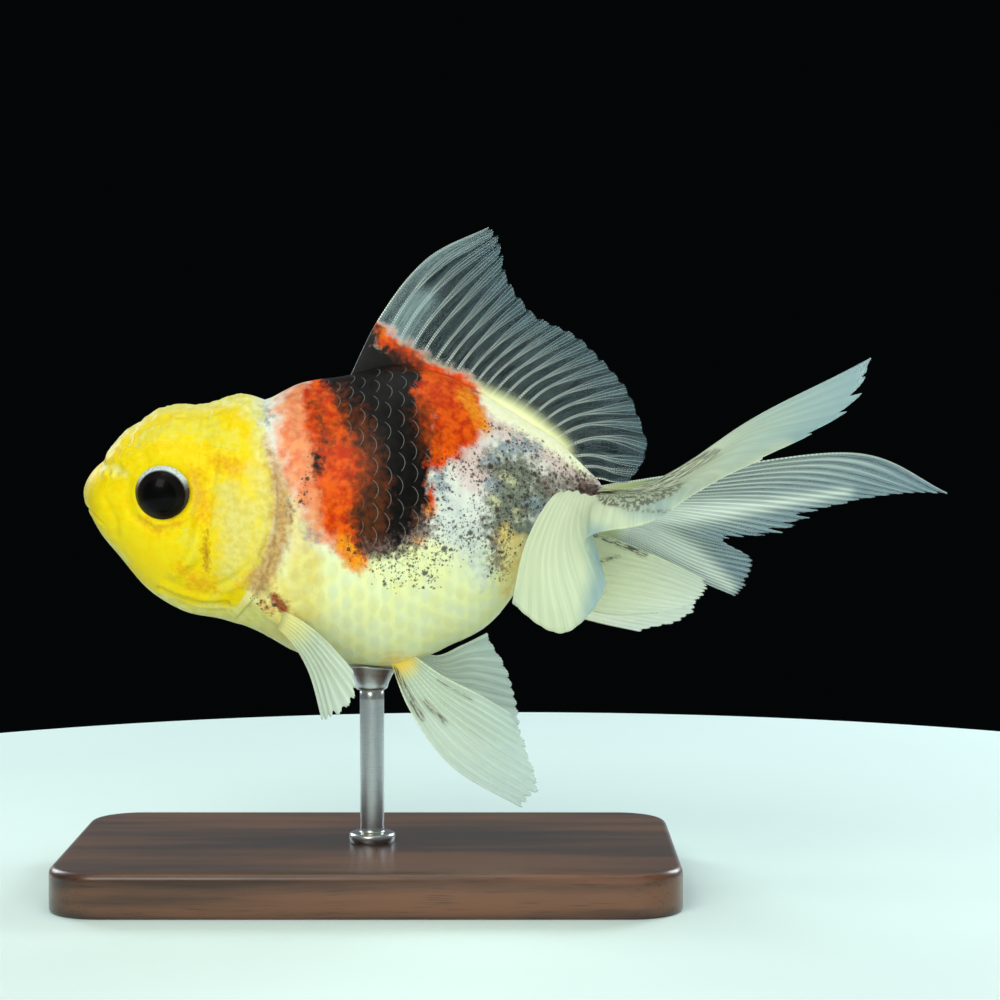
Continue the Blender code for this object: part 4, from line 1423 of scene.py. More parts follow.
@dataclass(frozen=True)
class SkinRelief:
    """The folds, lips, nostrils, lids and growths of the skin. Lengths are in millimetres.

    A hill is its height, how far out it stands and its width. gill_top and gill_foot are angles
    from the back, in degrees, between which the gill cover's free edge shows.
    """

    form: BodyForm
    eye: tuple[float, float]
    side: tuple[float, float] = (0.22, 0.55)
    eye_opening: float = 3.12
    lid: tuple[Point, ...] = ((0.20, 0.36, 0.34), (-0.10, 1.35, 0.50))
    socket_depth: float = 2.0
    socket_slope: float = 1.7
    socket_play: float = 0.12
    mouth: tuple[tuple[float, float], ...] = ((-33.1, 43.9), (-31.8, 43.3), (-30.2, 42.0))
    mouth_end: tuple[float, float] = (0.5, 0.3)
    lips: tuple[Point, ...] = ((-0.20, 0.0, 0.14), (0.05, 0.45, 0.28))
    nostrils: tuple[Point, ...] = ((-29.5, 47.9, 0.34), (-28.6, 47.7, 0.26))
    nostril_depth: float = 0.24
    nostril_rim: Point = (0.08, 1.75, 0.22)
    gill_lip: float = 0.10
    gill_lip_width: float = 0.9
    gill_step: float = 0.48
    gill_step_width: float = 1.35
    gill_top: tuple[float, float] = (44.0, 64.0)
    gill_foot: tuple[float, float] = (150.0, 166.0)
    gill_drop: tuple[float, float] = (-0.05, 0.14)
    hood_lump: float = 2.7
    hood_full: float = 1.3
    large_lumps: float = 0.14
    small_lumps: float = 0.30
    fine_lumps: float = 0.05
    fine_size: float = 0.5
    uneven: float = 0.07
    uneven_size: float = 5.0

    def height(self, points: Array, angle: Array) -> Array:
        """How far the skin stands out from the true outline.

        Args:
            points: plan points of the outline.
            angle: their places round the body.

        Returns:
            The height at each point.
        """
        x, z = points[..., 0], points[..., 2]
        on_side = ramp(np.abs(np.sin(angle)), *self.side)
        height = np.zeros(x.shape)
        for fold in FOLDS:
            height += on_side * fold.height * stroke(x, z, fold.path, fold.width)
        height += self.eye_rim(x, z) * on_side + self.mouth_line(points)
        rise, spread, width = self.nostril_rim
        for px, pz, radius in self.nostrils:
            shape = (-self.nostril_depth, 0.0, radius), (rise, spread * radius, width)
            height += on_side * hills(np.hypot(x - px, z - pz), shape)
        return height + self.gill_edge(x, angle) + self.growths(points, angle)

    def eye_rim(self, x: Array, z: Array) -> Array:
        """The socket and the lid round the eye.

        Args:
            x: places along the fish.
            z: their heights.

        Returns:
            The height of the skin at each place.
        """
        away = np.hypot(x - self.eye[0], z - self.eye[1])
        socket = ramp(self.eye_opening + self.socket_play - away, 0.0, self.socket_slope)
        return hills(away - self.eye_opening, self.lid) - self.socket_depth * socket

    def mouth_line(self, points: Array) -> Array:
        """The closed mouth: a cleft across the snout between two lips.

        Args:
            points: plan points of the outline.

        Returns:
            The height of the skin at each point.
        """
        x, z = points[..., 0], points[..., 2]
        xs, zs = np.array(self.mouth).T
        away = np.abs(z - np.interp(x, xs, zs))
        before, after = self.mouth_end
        fade = 1 - ramp(x, xs[-1] - before, xs[-1] + after)
        return fade * hills(away, self.lips)

    def gill_edge(self, x: Array, angle: Array) -> Array:
        """The gill cover's free edge, standing over the shoulder behind it.

        Args:
            x: places along the fish.
            angle: places round it.

        Returns:
            The height of the skin at each place.
        """
        turn = np.degrees(np.abs(np.arctan2(np.sin(angle), np.cos(angle))))
        behind = x - self.form.gill_line(angle)
        shown = ramp(turn, *self.gill_top) * (1 - ramp(turn, *self.gill_foot))
        lip = self.gill_lip * bell(behind, self.gill_lip_width)
        step = -self.gill_step * bell(behind, self.gill_step_width)
        return shown * lerp(lip, step, ramp(behind, *self.gill_drop))

    def growths(self, points: Array, angle: Array) -> Array:
        """The hood's lumps, and a slight unevenness of the whole body.

        Args:
            points: plan points of the outline.
            angle: their places round the body.

        Returns:
            The height of the skin at each point.
        """
        hood = np.minimum(self.form.hood_height(points[..., 0], angle) / self.hood_full, 1.0)
        large = self.large_lumps * lumps(points, self.hood_lump, 11)
        small = self.small_lumps * (0.3 - np.abs(lumps(points, 0.42 * self.hood_lump, 12)))
        fine = self.fine_lumps * lumps(points, self.fine_size, 13)
        body = self.uneven * lumps(points, self.uneven_size, 14)
        return hood * (large + small + fine) + body


@dataclass(frozen=True)
class Skin:
    """One skin over the head, jaw, hood, gill covers, trunk and tail stalk.

    It lies inside them by the coat's depth, and by the bare depth where there are no scales.
    """

    form: BodyForm
    placement: Placement
    relief: SkinRelief
    columns: int = 264
    nose_rows: int = 44
    head_rows: int = 168
    flank_rows: int = 124
    end_rows: int = 8
    head_end: float = -9.3
    coat_depth: float = 0.12
    bare_depth: float = 0.02
    nose_tip: float = 0.01

    nodes = (
        "head", "lower_jaw", "hood", "gill_cover_left", "gill_cover_right", "trunk", "tail_stalk",
    )

    def row_places(self) -> Array:
        """Places of the rows along the fish, closest on the head."""
        form = self.form
        turn = np.linspace(0.0, math.pi / 2, self.nose_rows + 1)[1:]
        nose = form.snout_x + form.snout_cap * (1 - np.cos(turn))
        head = np.linspace(nose[-1], self.head_end, self.head_rows + 1)[1:]
        shoulder = form.stalk_end - form.stalk_cap
        flank = np.linspace(self.head_end, shoulder, self.flank_rows + 1)[1:]
        turn = np.linspace(0.0, math.pi / 2, self.end_rows + 2)[1:-1]
        return np.concatenate([nose, head, flank, shoulder + form.stalk_cap * np.sin(turn)])

    def unwrap(self, x: Array, angle: Array) -> Array:
        """Places on the skin's own map, with its seam along the belly.

        Args:
            x: places along the fish.
            angle: places round it.

        Returns:
            A place from 0 to 1, across and up the map, for each.
        """
        around = np.mod(np.asarray(angle) + math.pi, 2 * math.pi) / (2 * math.pi)
        along = (np.asarray(x) - self.form.snout_x) / (self.form.stalk_end - self.form.snout_x)
        return np.stack([0.01 + 0.96 * around, 0.01 + 0.98 * along], axis=-1)

    def build(self) -> bpy.types.Object:
        """The skin's mesh, closed at the nose and at the stalk's end."""
        x = self.row_places()[:, None]
        angle = math.pi + np.arange(self.columns)[None, :] * 2 * math.pi / self.columns
        x, angle = np.broadcast_arrays(x, angle)
        plain, _ = self.form.surface(x, angle)
        scaly = ramp(x - self.form.gill_line(angle), 0.2, 1.5)
        depth = lerp(self.bare_depth, self.coat_depth, scaly)
        points, _ = self.form.surface(x, angle, self.relief.height(plain, angle) - depth)
        poles = np.array([points[0].mean(axis=0), points[-1].mean(axis=0)])
        poles[0, 0] -= self.nose_tip
        rows, points = len(points), np.concatenate([points.reshape(-1, 3), poles])
        faces, fans = grid_faces(rows, self.columns, wrap=True), pole_fans(rows, self.columns)
        made = build_mesh("body_skin", self.placement.metres(points), faces, fans)
        flat = self.unwrap(x, angle).reshape(-1, 2)
        write_map(made, np.concatenate([flat, [[0.5, 0.005], [0.5, 0.995]]]), wraps=True)
        return made


# ---- Scales ----


@dataclass(frozen=True)
class ScaleCoat:
    """Overlapping rows of scales on one flank, laid over the skin by geometry nodes.

    Lengths are in millimetres, but a scale's own shape is in shares of its size.
    """

    form: BodyForm
    placement: Placement
    skin: Skin
    rows: int = 16
    girth_from: float = 0.035
    girth_share: float = 0.94
    fullness: float = 1.16
    overlap: float = 2.25
    pitch_share: float = 0.53
    least_pitch: float = 0.72
    first_x: float = -15.0
    last_x: float = 25.4
    measured_at: float = 3.0
    clear_of_gills: float = 0.55
    slope_step: float = 0.3
    thickness: float = 0.024
    root_sunk: float = -0.07
    edge_lift: float = 0.045
    sharp: float = math.radians(40)
    patch: float = 0.003
    unevenness: float = 0.05
    seed: int = 3

    along = (0.0, 0.42, 0.72, 0.92, 1.0)
    across = 9

    def half_outline(self, x: float, count: int) -> tuple[Array, Array]:
        """Angles from back to belly at x, and the width of skin run through at each.

        Args:
            x: the place along the fish.
            count: how many angles are wanted.

        Returns:
            The angles, and the widths.
        """
        angle = np.linspace(0.0, math.pi, count)
        outline = self.form.section(np.full(count, x), angle)
        steps = np.linalg.norm(np.diff(outline, axis=0), axis=1)
        return angle, np.concatenate([[0.0], np.cumsum(steps)])

    def roots(self, side: Side) -> dict[str, Array]:
        """Where each scale of a flank is rooted, and which way it lies.

        Args:
            side: the flank.

        Returns:
            Each scale's point, directions, size and place on the map, by name.
        """
        angles, run = self.half_outline(self.measured_at, 400)
        x, places, number = self.first_x, [], 0
        while x < self.last_x:
            breadth = self.half_outline(x, 60)[1][-1] / self.rows
            pitch = max(self.pitch_share * breadth, self.least_pitch)
            share = (np.arange(self.rows) + 0.25 + 0.5 * (number % 2)) / self.rows
            place = (self.girth_from + self.girth_share * share) * run[-1]
            for angle in np.interp(place, run, angles):
                if x - self.form.gill_line(angle) > self.clear_of_gills:
                    places.append((x, angle, breadth, pitch))
            x, number = x + pitch, number + 1
        x, angle, breadth, pitch = np.array(places).T
        angle = angle * side.value
        point, out = self.form.surface(x, angle, -self.skin.coat_depth)
        ahead, _ = self.form.surface(x - self.slope_step, angle)
        behind, _ = self.form.surface(x + self.slope_step, angle)
        spot = self.skin.unwrap(x, angle)
        return {
            "point": point, "out": out, "run": unit(behind - ahead), "root_u": spot[:, 0],
            "root_v": spot[:, 1], "breadth": breadth * self.fullness * MM,
            "reach": pitch * self.overlap * MM,
        }

    def one_scale(self) -> bpy.types.Object:
        """A thin closed scale of unit size, with its free edge towards +X."""
        v = np.linspace(-1.0, 1.0, self.across)[None, :]
        u = np.array(self.along)[:, None]
        end = 1 - 0.36 * np.abs(v) ** 2.1
        x = u * end
        y = 0.5 * v * (0.72 + 0.28 * ramp(u, 0.0, 0.6)) + 0 * u
        top = lerp(self.root_sunk, self.edge_lift, x) - 0.03 * v**2 - 0.012 * (u > 0.95)
        front = np.stack([x, y, top], axis=-1)
        points, faces = slab_mesh(front, front - np.array([0.0, 0.0, self.thickness]))
        made = build_mesh("one_scale", points * np.array([1.0, 1.0, 1e-3]), faces)
        made.data.set_sharp_from_angle(angle=self.sharp)
        write_values(made, "lift", points[:, 2] * MM)
        edge = (1 - u) * end * 3.2
        for name, value in (("rim", edge), ("fan", v), ("local_x", x), ("local_y", y)):
            write_values(made, name, np.tile(np.broadcast_to(value, x.shape).ravel(), 2))
        return made

    def tree(self) -> bpy.types.NodeTree:
        """Geometry nodes that set a scale at each root and lay it on the skin."""
        wiring, given = geometry_tree("scale_rows", {
            "Roots": "Geometry", "Scale": "Object", "Skin": "Object", "Finish": "Material",
            "Unevenness": "Float", "Seed": "Int",
        })

        def kept(name: str, kind: str = "FLOAT") -> bpy.types.NodeSocket:
            """A value stored at the points."""
            return wiring.out("GeometryNodeInputNamedAttribute", {0: name}, data_type=kind)

        def shape(name: str) -> bpy.types.NodeSocket:
            """The geometry of a given object."""
            return wiring.add("GeometryNodeObjectInfo", {0: given[name]}).outputs["Geometry"]

        axes = {0: kept("out", "FLOAT_VECTOR"), 1: kept("run", "FLOAT_VECTOR")}
        turn = wiring.out("FunctionNodeAxesToRotation", axes, primary_axis="Z", secondary_axis="X")
        draw = {2: -1.0, 3: 1.0, 8: wiring.math("ADD", given["Seed"], 1.0)}
        chance = wiring.add("FunctionNodeRandomValue", draw, data_type="FLOAT").outputs[1]
        size = wiring.scaled(given["Unevenness"], chance, 1.0)
        reach, breadth = wiring.times(kept("reach"), size), kept("breadth")
        full = wiring.out("ShaderNodeCombineXYZ", {0: reach, 1: breadth, 2: breadth})
        rows = wiring.out("GeometryNodeInstanceOnPoints", {
            "Points": given["Roots"], "Instance": shape("Scale"), "Rotation": turn, "Scale": full,
        })
        rows = wiring.out("GeometryNodeRealizeInstances", {0: rows})
        here, skin = wiring.out("GeometryNodeInputPosition"), shape("Skin")

        def nearest(value: bpy.types.NodeSocket) -> bpy.types.NodeSocket:
            """A vector of the skin where a scale is nearest to it."""
            sample = {"Mesh": skin, "Value": value, "Sample Position": here}
            return wiring.out("GeometryNodeSampleNearestSurface", sample, data_type="FLOAT_VECTOR")

        on_skin, outwards = nearest(here), nearest(wiring.out("GeometryNodeInputNormal"))
        stand = {0: outwards, "Scale": kept("lift")}
        stand = wiring.out("ShaderNodeVectorMath", stand, operation="SCALE")
        laid = {"Geometry": rows, "Position": on_skin, "Offset": stand}
        laid = {"Geometry": wiring.out("GeometryNodeSetPosition", laid), "Material": given["Finish"]}
        dressed = wiring.out("GeometryNodeSetMaterial", laid)
        wiring.add("NodeGroupOutput", {0: dressed})
        return wiring.tree

    def build(
        self, side: Side, tree: bpy.types.NodeTree, scale: bpy.types.Object,
        skin: bpy.types.Object, finish: bpy.types.Material,
    ) -> bpy.types.Object:
        """The scales of one flank as a plain mesh.

        Args:
            side: the flank.
            tree: the geometry nodes that lay the scales.
            scale: one scale of unit size.
            skin: the skin that they lie on.
            finish: their material.

        Returns:
            The scales, joined, with their bake map.
        """
        roots = self.roots(side)
        points = self.placement.metres(roots.pop("point"))
        host = plain_object(f"scale_roots_{side.label}", points)
        for name, values in roots.items():
            write_values(host, name, values)
        values = {
            "Scale": scale, "Skin": skin, "Finish": finish, "Unevenness": self.unevenness,
            "Seed": self.seed,
        }
        made = grown(host, tree, values, f"scales_{side.label}")
        u = read_values(made, "root_u") + self.patch * read_values(made, "local_y")
        v = read_values(made, "root_v") + self.patch * (read_values(made, "local_x") - 0.5)
        write_map(made, np.stack([u, v], axis=-1))
        return made


def plain_object(
    name: str, points: Array, edges: Sequence[tuple[int, int]] = ()
) -> bpy.types.Object:
    """An object of bare points, and edges between them, for geometry nodes to grow from.

    Args:
        name: the object's name.
        points: its vertices in metres.
        edges: pairs of vertices.

    Returns:
        The object.
    """
    mesh = bpy.data.meshes.new(name)
    mesh.from_pydata(points.tolist(), list(edges), [])
    return linked(name, mesh)


def grown(
    host: bpy.types.Object, tree: bpy.types.NodeTree, values: dict[str, object], name: str
) -> bpy.types.Object:
    """The plain mesh that geometry nodes make of an object, which is then removed.

    Args:
        host: the object that the nodes start from.
        tree: the nodes.
        values: a value for each of the tree's named inputs.
        name: the new object's name.

    Returns:
        The new object.
    """
    modifier = host.modifiers.new("grown", "NODES")
    modifier.node_group = tree
    for item in tree.interface.items_tree:
        if item.item_type == "SOCKET" and item.in_out == "INPUT" and item.name in values:
            modifier[item.identifier] = values[item.name]
    graph = bpy.context.evaluated_depsgraph_get()
    mesh = bpy.data.meshes.new_from_object(host.evaluated_get(graph), depsgraph=graph)
    mesh.name = name
    mesh.shade_smooth()
    bpy.data.objects.remove(host)
    return linked(name, mesh)


# ---- Fins ----


@dataclass(frozen=True)
class KeyRay:
    """A fin ray's path: root, two points a third and two thirds along, and tip."""

    root: Point
    inner: Point
    outer: Point
    tip: Point

    def mirrored(self) -> "KeyRay":
        """The same ray on the other side of the fish."""
        flipped = ((x, -y, z) for x, y, z in (self.root, self.inner, self.outer, self.tip))
        return KeyRay(*flipped)


DORSAL = (
    KeyRay((-2.9, 0, 57.4), (1.2, 0.1, 65.7), (6.6, 0.3, 72.3), (14.0, 0.6, 76.0)),
    KeyRay((-0.2, 0, 58.2), (3.3, 0.1, 66.0), (8.2, 0.3, 71.6), (14.6, 0.7, 75.4)),
    KeyRay((2.6, 0, 57.9), (6.2, 0.1, 64.3), (10.5, 0.4, 69.2), (15.3, 0.8, 73.6)),
    KeyRay((5.6, 0, 57.6), (8.7, 0.1, 62.4), (12.2, 0.4, 66.4), (15.9, 0.9, 70.3)),
    KeyRay((9.6, 0, 56.4), (12.3, 0.2, 60.2), (15.5, 0.5, 63.3), (19.1, 1.0, 65.9)),
    KeyRay((12.7, 0, 55.2), (16.0, 0.2, 58.8), (19.7, 0.6, 61.4), (23.6, 1.1, 63.7)),
    KeyRay((16.0, 0, 53.4), (19.6, 0.2, 56.9), (23.3, 0.6, 58.7), (27.4, 1.1, 60.1)),
    KeyRay((18.1, 0, 52.1), (21.9, 0.2, 55.0), (25.7, 0.5, 56.3), (29.7, 1.0, 57.2)),
    KeyRay((19.9, 0, 50.8), (24.0, 0.2, 53.0), (27.7, 0.4, 53.4), (31.4, 0.8, 53.2)),
    KeyRay((20.8, 0, 49.9), (25.0, 0.1, 51.5), (28.5, 0.3, 51.5), (32.0, 0.6, 50.6)),
    KeyRay((21.6, 0, 49.2), (25.1, 0.1, 49.7), (28.2, 0.2, 49.1), (31.4, 0.4, 48.6)),
    KeyRay((24.2, 0, 47.0), (26.4, 0, 47.0), (28.0, 0.1, 46.6), (29.7, 0.2, 46.5)),
)
PECTORAL = (
    KeyRay((-10.4, -5.2, 30.7), (-8.3, -8.8, 28.9), (-6.3, -10.6, 25.5), (-4.8, -12.0, 20.3)),
    KeyRay((-10.3, -5.6, 31.4), (-7.6, -9.6, 29.4), (-5.1, -11.6, 26.0), (-3.3, -13.2, 20.9)),
    KeyRay((-10.2, -6.0, 32.1), (-6.9, -10.2, 30.1), (-4.1, -12.4, 27.2), (-0.9, -14.0, 23.0)),
    KeyRay((-10.0, -6.4, 32.8), (-6.3, -10.5, 30.9), (-3.8, -12.5, 29.0), (-1.2, -13.5, 26.2)),
)
PELVIC_LEFT = (
    KeyRay((1.9, -1.8, 27.4), (4.7, -4.5, 20.7), (9.6, -7.5, 14.7), (17.4, -9.5, 10.4)),
    KeyRay((2.4, -2.0, 27.6), (6.8, -5.0, 21.6), (13.0, -8.5, 16.4), (19.3, -10.5, 12.7)),
    KeyRay((2.9, -2.2, 27.8), (7.9, -5.0, 23.0), (13.0, -8.5, 20.1), (18.0, -10.5, 17.2)),
    KeyRay((3.4, -2.4, 28.0), (7.9, -5.0, 25.0), (12.4, -7.5, 23.0), (16.5, -9.0, 20.8)),
)
PELVIC_RIGHT = (
    KeyRay((2.2, 1.8, 27.4), (5.9, 4.0, 21.0), (11.7, 7.0, 16.4), (17.9, 9.0, 15.2)),
    KeyRay((2.7, 2.0, 27.6), (7.7, 5.0, 22.8), (12.3, 8.0, 20.5), (17.1, 10.0, 19.0)),
    KeyRay((3.2, 2.2, 27.8), (7.9, 5.0, 24.4), (11.9, 8.0, 24.1), (16.1, 10.0, 22.9)),
    KeyRay((3.6, 2.4, 28.0), (7.1, 5.0, 25.9), (10.4, 7.4, 26.9), (13.5, 9.0, 28.3)),
)
ANAL_LEFT = (
    KeyRay((17.9, -0.9, 36.8), (21.6, -2.6, 33.3), (27.2, -5.0, 31.8), (32.9, -6.5, 32.1)),
    KeyRay((19.3, -0.9, 38.4), (25.0, -3.0, 35.1), (31.1, -5.5, 33.8), (36.6, -7.0, 33.0)),
    KeyRay((20.9, -0.9, 40.2), (26.4, -2.6, 37.9), (32.6, -4.8, 36.4), (38.3, -6.2, 34.4)),
    KeyRay((22.5, -0.9, 41.6), (27.2, -2.0, 40.4), (32.8, -4.0, 38.3), (38.2, -5.4, 35.8)),
)
ANAL_RIGHT = (
    KeyRay((17.4, 0.9, 36.6), (20.5, 2.6, 32.1), (25.8, 4.5, 30.1), (31.4, 6.0, 28.7)),
    KeyRay((18.7, 0.9, 38.0), (23.4, 2.6, 33.2), (29.9, 4.5, 31.1), (36.3, 6.0, 30.0)),
    KeyRay((20.2, 0.9, 39.8), (25.4, 2.2, 35.0), (32.2, 4.0, 32.9), (38.2, 5.5, 32.1)),
    KeyRay((21.6, 0.9, 41.2), (26.3, 1.6, 37.8), (31.0, 2.6, 36.1), (35.7, 3.6, 34.4)),
)
TAIL_LEFT = (
    KeyRay((24.5, -0.9, 45.7), (32.4, -2.4, 46.8), (42.7, -6.5, 53.6), (55.7, -13.0, 60.9)),
    KeyRay((24.5, -0.9, 45.0), (33.4, -4.0, 46.1), (42.6, -10.5, 52.0), (52.5, -16.0, 54.7)),
    KeyRay((24.5, -0.9, 44.3), (32.2, -5.0, 45.8), (37.1, -12.5, 47.5), (37.0, -17.5, 46.6)),
    KeyRay((24.5, -0.9, 43.6), (29.1, -6.0, 45.4), (31.0, -13.5, 45.7), (31.1, -18.5, 43.1)),
    KeyRay((24.5, -0.9, 43.0), (26.6, -6.5, 45.3), (25.6, -13.2, 44.9), (24.2, -17.0, 41.2)),
    KeyRay((24.5, -0.9, 42.4), (24.7, -6.4, 45.4), (24.2, -13.3, 42.3), (26.4, -16.4, 36.0)),
    KeyRay((24.5, -0.9, 41.9), (23.1, -6.3, 45.8), (20.6, -13.0, 39.0), (22.0, -16.0, 30.6)),
    KeyRay((24.3, -0.9, 41.4), (21.6, -6.4, 45.7), (17.8, -12.5, 40.6), (15.8, -15.5, 31.9)),
)
TAIL_RIGHT = (
    KeyRay((24.5, 0.9, 45.7), (37.5, 2.5, 47.6), (56.5, 4.8, 49.7), (67.7, 6.0, 44.9)),
    KeyRay((24.5, 0.9, 45.0), (35.6, 3.5, 45.6), (48.8, 7.0, 46.4), (62.0, 8.5, 44.6)),
    KeyRay((24.5, 0.9, 44.3), (34.5, 4.0, 44.2), (44.3, 8.5, 43.9), (53.8, 10.5, 42.9)),
    KeyRay((24.5, 0.9, 43.6), (33.4, 4.5, 43.0), (41.1, 9.5, 41.6), (49.3, 12.0, 39.8)),
    KeyRay((24.5, 0.9, 43.0), (32.2, 4.8, 42.0), (37.6, 10.0, 40.5), (42.0, 13.0, 39.0)),
    KeyRay((24.5, 0.9, 42.4), (31.7, 4.8, 41.0), (38.5, 10.5, 38.3), (45.7, 14.5, 36.6)),
    KeyRay((24.5, 0.9, 41.9), (31.0, 4.6, 39.9), (38.1, 10.0, 36.2), (44.8, 14.5, 33.7)),
    KeyRay((24.3, 0.9, 41.4), (30.6, 4.4, 38.9), (37.5, 9.0, 35.0), (43.6, 13.5, 32.1)),
)

# The dorsal fin's root colour is its pale fleshy base, painted brighter as a glow of light.
CLEAR = FinFinish(
    "fin_clear", (34, 58, 64), (130, 162, 160), (248, 249, 196), (66, 110, 122), 0.08, 0.55,
    root_end=0.25, streak=0.12, band=0.34, inked=True,
)
PECTORALS = FinFinish(
    "fin_pectoral", (160, 184, 162), (234, 242, 202), (228, 224, 146), (200, 220, 200), 0.78, 0.97,
    root_end=0.50, relief=0.3, merged=0.16,
)
PELVICS = FinFinish(
    "fin_pelvic", (170, 196, 172), (222, 236, 202), (246, 206, 62), (172, 202, 192), 0.62, 0.95,
    root_end=0.22, thinned=0.10, relief=0.1,
)
ANALS = FinFinish(
    "fin_anal", (222, 231, 172), (244, 250, 206), (228, 224, 146), (200, 220, 200), 0.78, 0.97,
    root_end=0.20, band=0.3, relief=0.1,
)
VEIL = FinFinish(
    "fin_veil", (70, 98, 96), (224, 240, 214), (200, 208, 146), (66, 120, 142), 0.40, 0.96,
    root_end=0.30, thinned=0.16, streak=0.10,
)
MILKY = FinFinish(
    "fin_milky", (176, 192, 150), (206, 220, 176), (206, 217, 180), (106, 152, 168), 0.86, 0.97,
    root_end=0.20, thinned=0.16, band=0.25, relief=0.05, blot=(78, 80, 66), shade=(166, 170, 126),
)

JOINTED = RayFinish("ray_jointed", (236, 244, 222), (114, 144, 142), 0.95, 0.45)
INKED = RayFinish("ray_inked", (250, 252, 230), (70, 92, 92), 1.0, 0.50, True)
PALE_RAY = RayFinish("ray_pale", (226, 236, 204), (208, 220, 186), 0.80, 0.40)


@dataclass(frozen=True)
class FinPlan:
    """One fin: its key rays, how many rays it has, and how its margin and skin look.

    numbers are the key rays' places in the count of rays. ragged, saw, rounded and strips shorten
    the skin, as shares of its length: between rays, in teeth, at its last ray, and in torn strips
    from one ray to another.
    """

    name: str
    nodes: tuple[str, ...]
    keys: tuple[KeyRay, ...]
    rays: int
    finish: FinFinish
    bone: RayFinish = PALE_RAY
    slot: str = "white_fin"
    numbers: tuple[float, ...] = ()
    root_half: float = 0.45
    ragged: float = 0.03
    saw: float = 0.0
    rounded: float = 0.0
    strips: Point = (0.0, 0.0, 0.0)
    branch: float = 0.45
    ray_width: float = 0.12
    joint: float = 0.30
    pleat: float = 0.022
    ruffle: float = 0.0
    waves: float = 0.0
    milk: tuple[Chain, ...] = ()
    blots: tuple[Chain, ...] = ()
    seed: int = 1


MIRRORED_PECTORAL = tuple(key.mirrored() for key in PECTORAL)
PELVIC_BLOTS = (
    ((2.8, 25.4, 0.25), (4.5, 22.4, 0.35), (6.0, 19.9, 0.3)), ((6.2, 21.9, 0.2), (8.7, 19.6, 0.25)),
    ((7.8, 24.3, 0.08), (11.7, 22.4, 0.12)), ((10.1, 14.2, 0.12), (10.8, 13.3, 0.10)),
)
ANAL_BLOTS = (((25.2, 41.2, 0.6), (31.3, 38.6, 0.4)), ((26.0, 37.6, 0.15), (28.4, 38.2, 0.15)))
TAIL_BLOTS = (
    ((26.6, 45.6, 0.9), (30.0, 45.6, 1.2), (33.4, 46.9, 1.1), (36.0, 48.5, 0.8), (39.4, 50.4, 0.3)),
    ((28.4, 44.3, 0.1), (32.0, 44.2, 0.15), (35.6, 44.2, 0.1)),
)
DORSAL_MILK = (
    ((1.2, 65.6, 0.6), (3.6, 69.6, 0.9), (7.4, 73.0, 1.0), (12.6, 75.6, 0.6)),
    ((3.4, 63.8, 1.6), (6.0, 67.4, 1.4)),
)
VEIL_MILK = (
    ((27.0, 43.0, 1.6), (31.6, 40.8, 1.8), (37.4, 37.4, 1.3), (42.6, 33.4, 0.6)),
    ((32.0, 42.6, 1.6), (38.0, 42.6, 1.2), (46.0, 43.4, 0.6), (56.0, 45.0, 0.3)),
)
NEAR_MILK = (
    ((22.6, 45.6, 1.2), (25.6, 44.2, 1.6), (28.6, 42.6, 1.0), (33.0, 42.4, 0.6)),
    ((20.6, 42.4, 3.4), (20.0, 37.4, 4.6), (20.4, 32.6, 3.4)),
    ((34.0, 44.6, 0.5), (39.0, 47.6, 0.6), (46.0, 51.0, 0.5)),
)
FINS = (
    FinPlan(
        "dorsal", ("dorsal_fin",), DORSAL, 23, CLEAR, INKED, "clear_fin",
        (0, 1, 3, 5, 8, 11, 14, 16, 18, 19, 20, 22), ragged=0.014, saw=0.035, branch=0.42,
        ray_width=0.11, joint=0.15, pleat=0.030, milk=DORSAL_MILK,
    ),
    FinPlan(
        "pectoral_left", ("pectoral_fin_left",), PECTORAL, 8, PECTORALS, saw=0.04, ray_width=0.07,
        pleat=0.055, seed=2,
    ),
    FinPlan(
        "pectoral_right", ("pectoral_fin_right",), MIRRORED_PECTORAL, 8, PECTORALS, saw=0.04,
        ray_width=0.07, pleat=0.055, seed=3,
    ),
    FinPlan(
        "pelvic_left", ("pelvic_fin_left",), PELVIC_LEFT, 11, PELVICS, branch=0.35,
        blots=PELVIC_BLOTS, seed=4,
    ),
    FinPlan("pelvic_right", ("pelvic_fin_right",), PELVIC_RIGHT, 11, PELVICS, branch=0.35, seed=5),
    FinPlan(
        "anal_left", ("anal_fin_left",), ANAL_LEFT, 13, ANALS, branch=0.35, blots=ANAL_BLOTS, seed=6,
    ),
    FinPlan("anal_right", ("anal_fin_right",), ANAL_RIGHT, 13, ANALS, branch=0.35, seed=7),
    FinPlan(
        "tail_left", ("tail_fin_left_upper", "tail_fin_left_lower"), TAIL_LEFT, 32, MILKY,
        ragged=0.004, rounded=0.075, strips=(1.0, 9.0, 0.04), ray_width=0.04, pleat=0.006,
        ruffle=0.22, waves=0.09, milk=NEAR_MILK, blots=TAIL_BLOTS, seed=8,
    ),
    FinPlan(
        "tail_right", ("tail_fin_right_upper", "tail_fin_right_lower"), TAIL_RIGHT, 34, VEIL, JOINTED,
        strips=(9.0, 19.0, 0.09), branch=0.22, joint=0.19, pleat=0.012, milk=VEIL_MILK, seed=9,
    ),
)


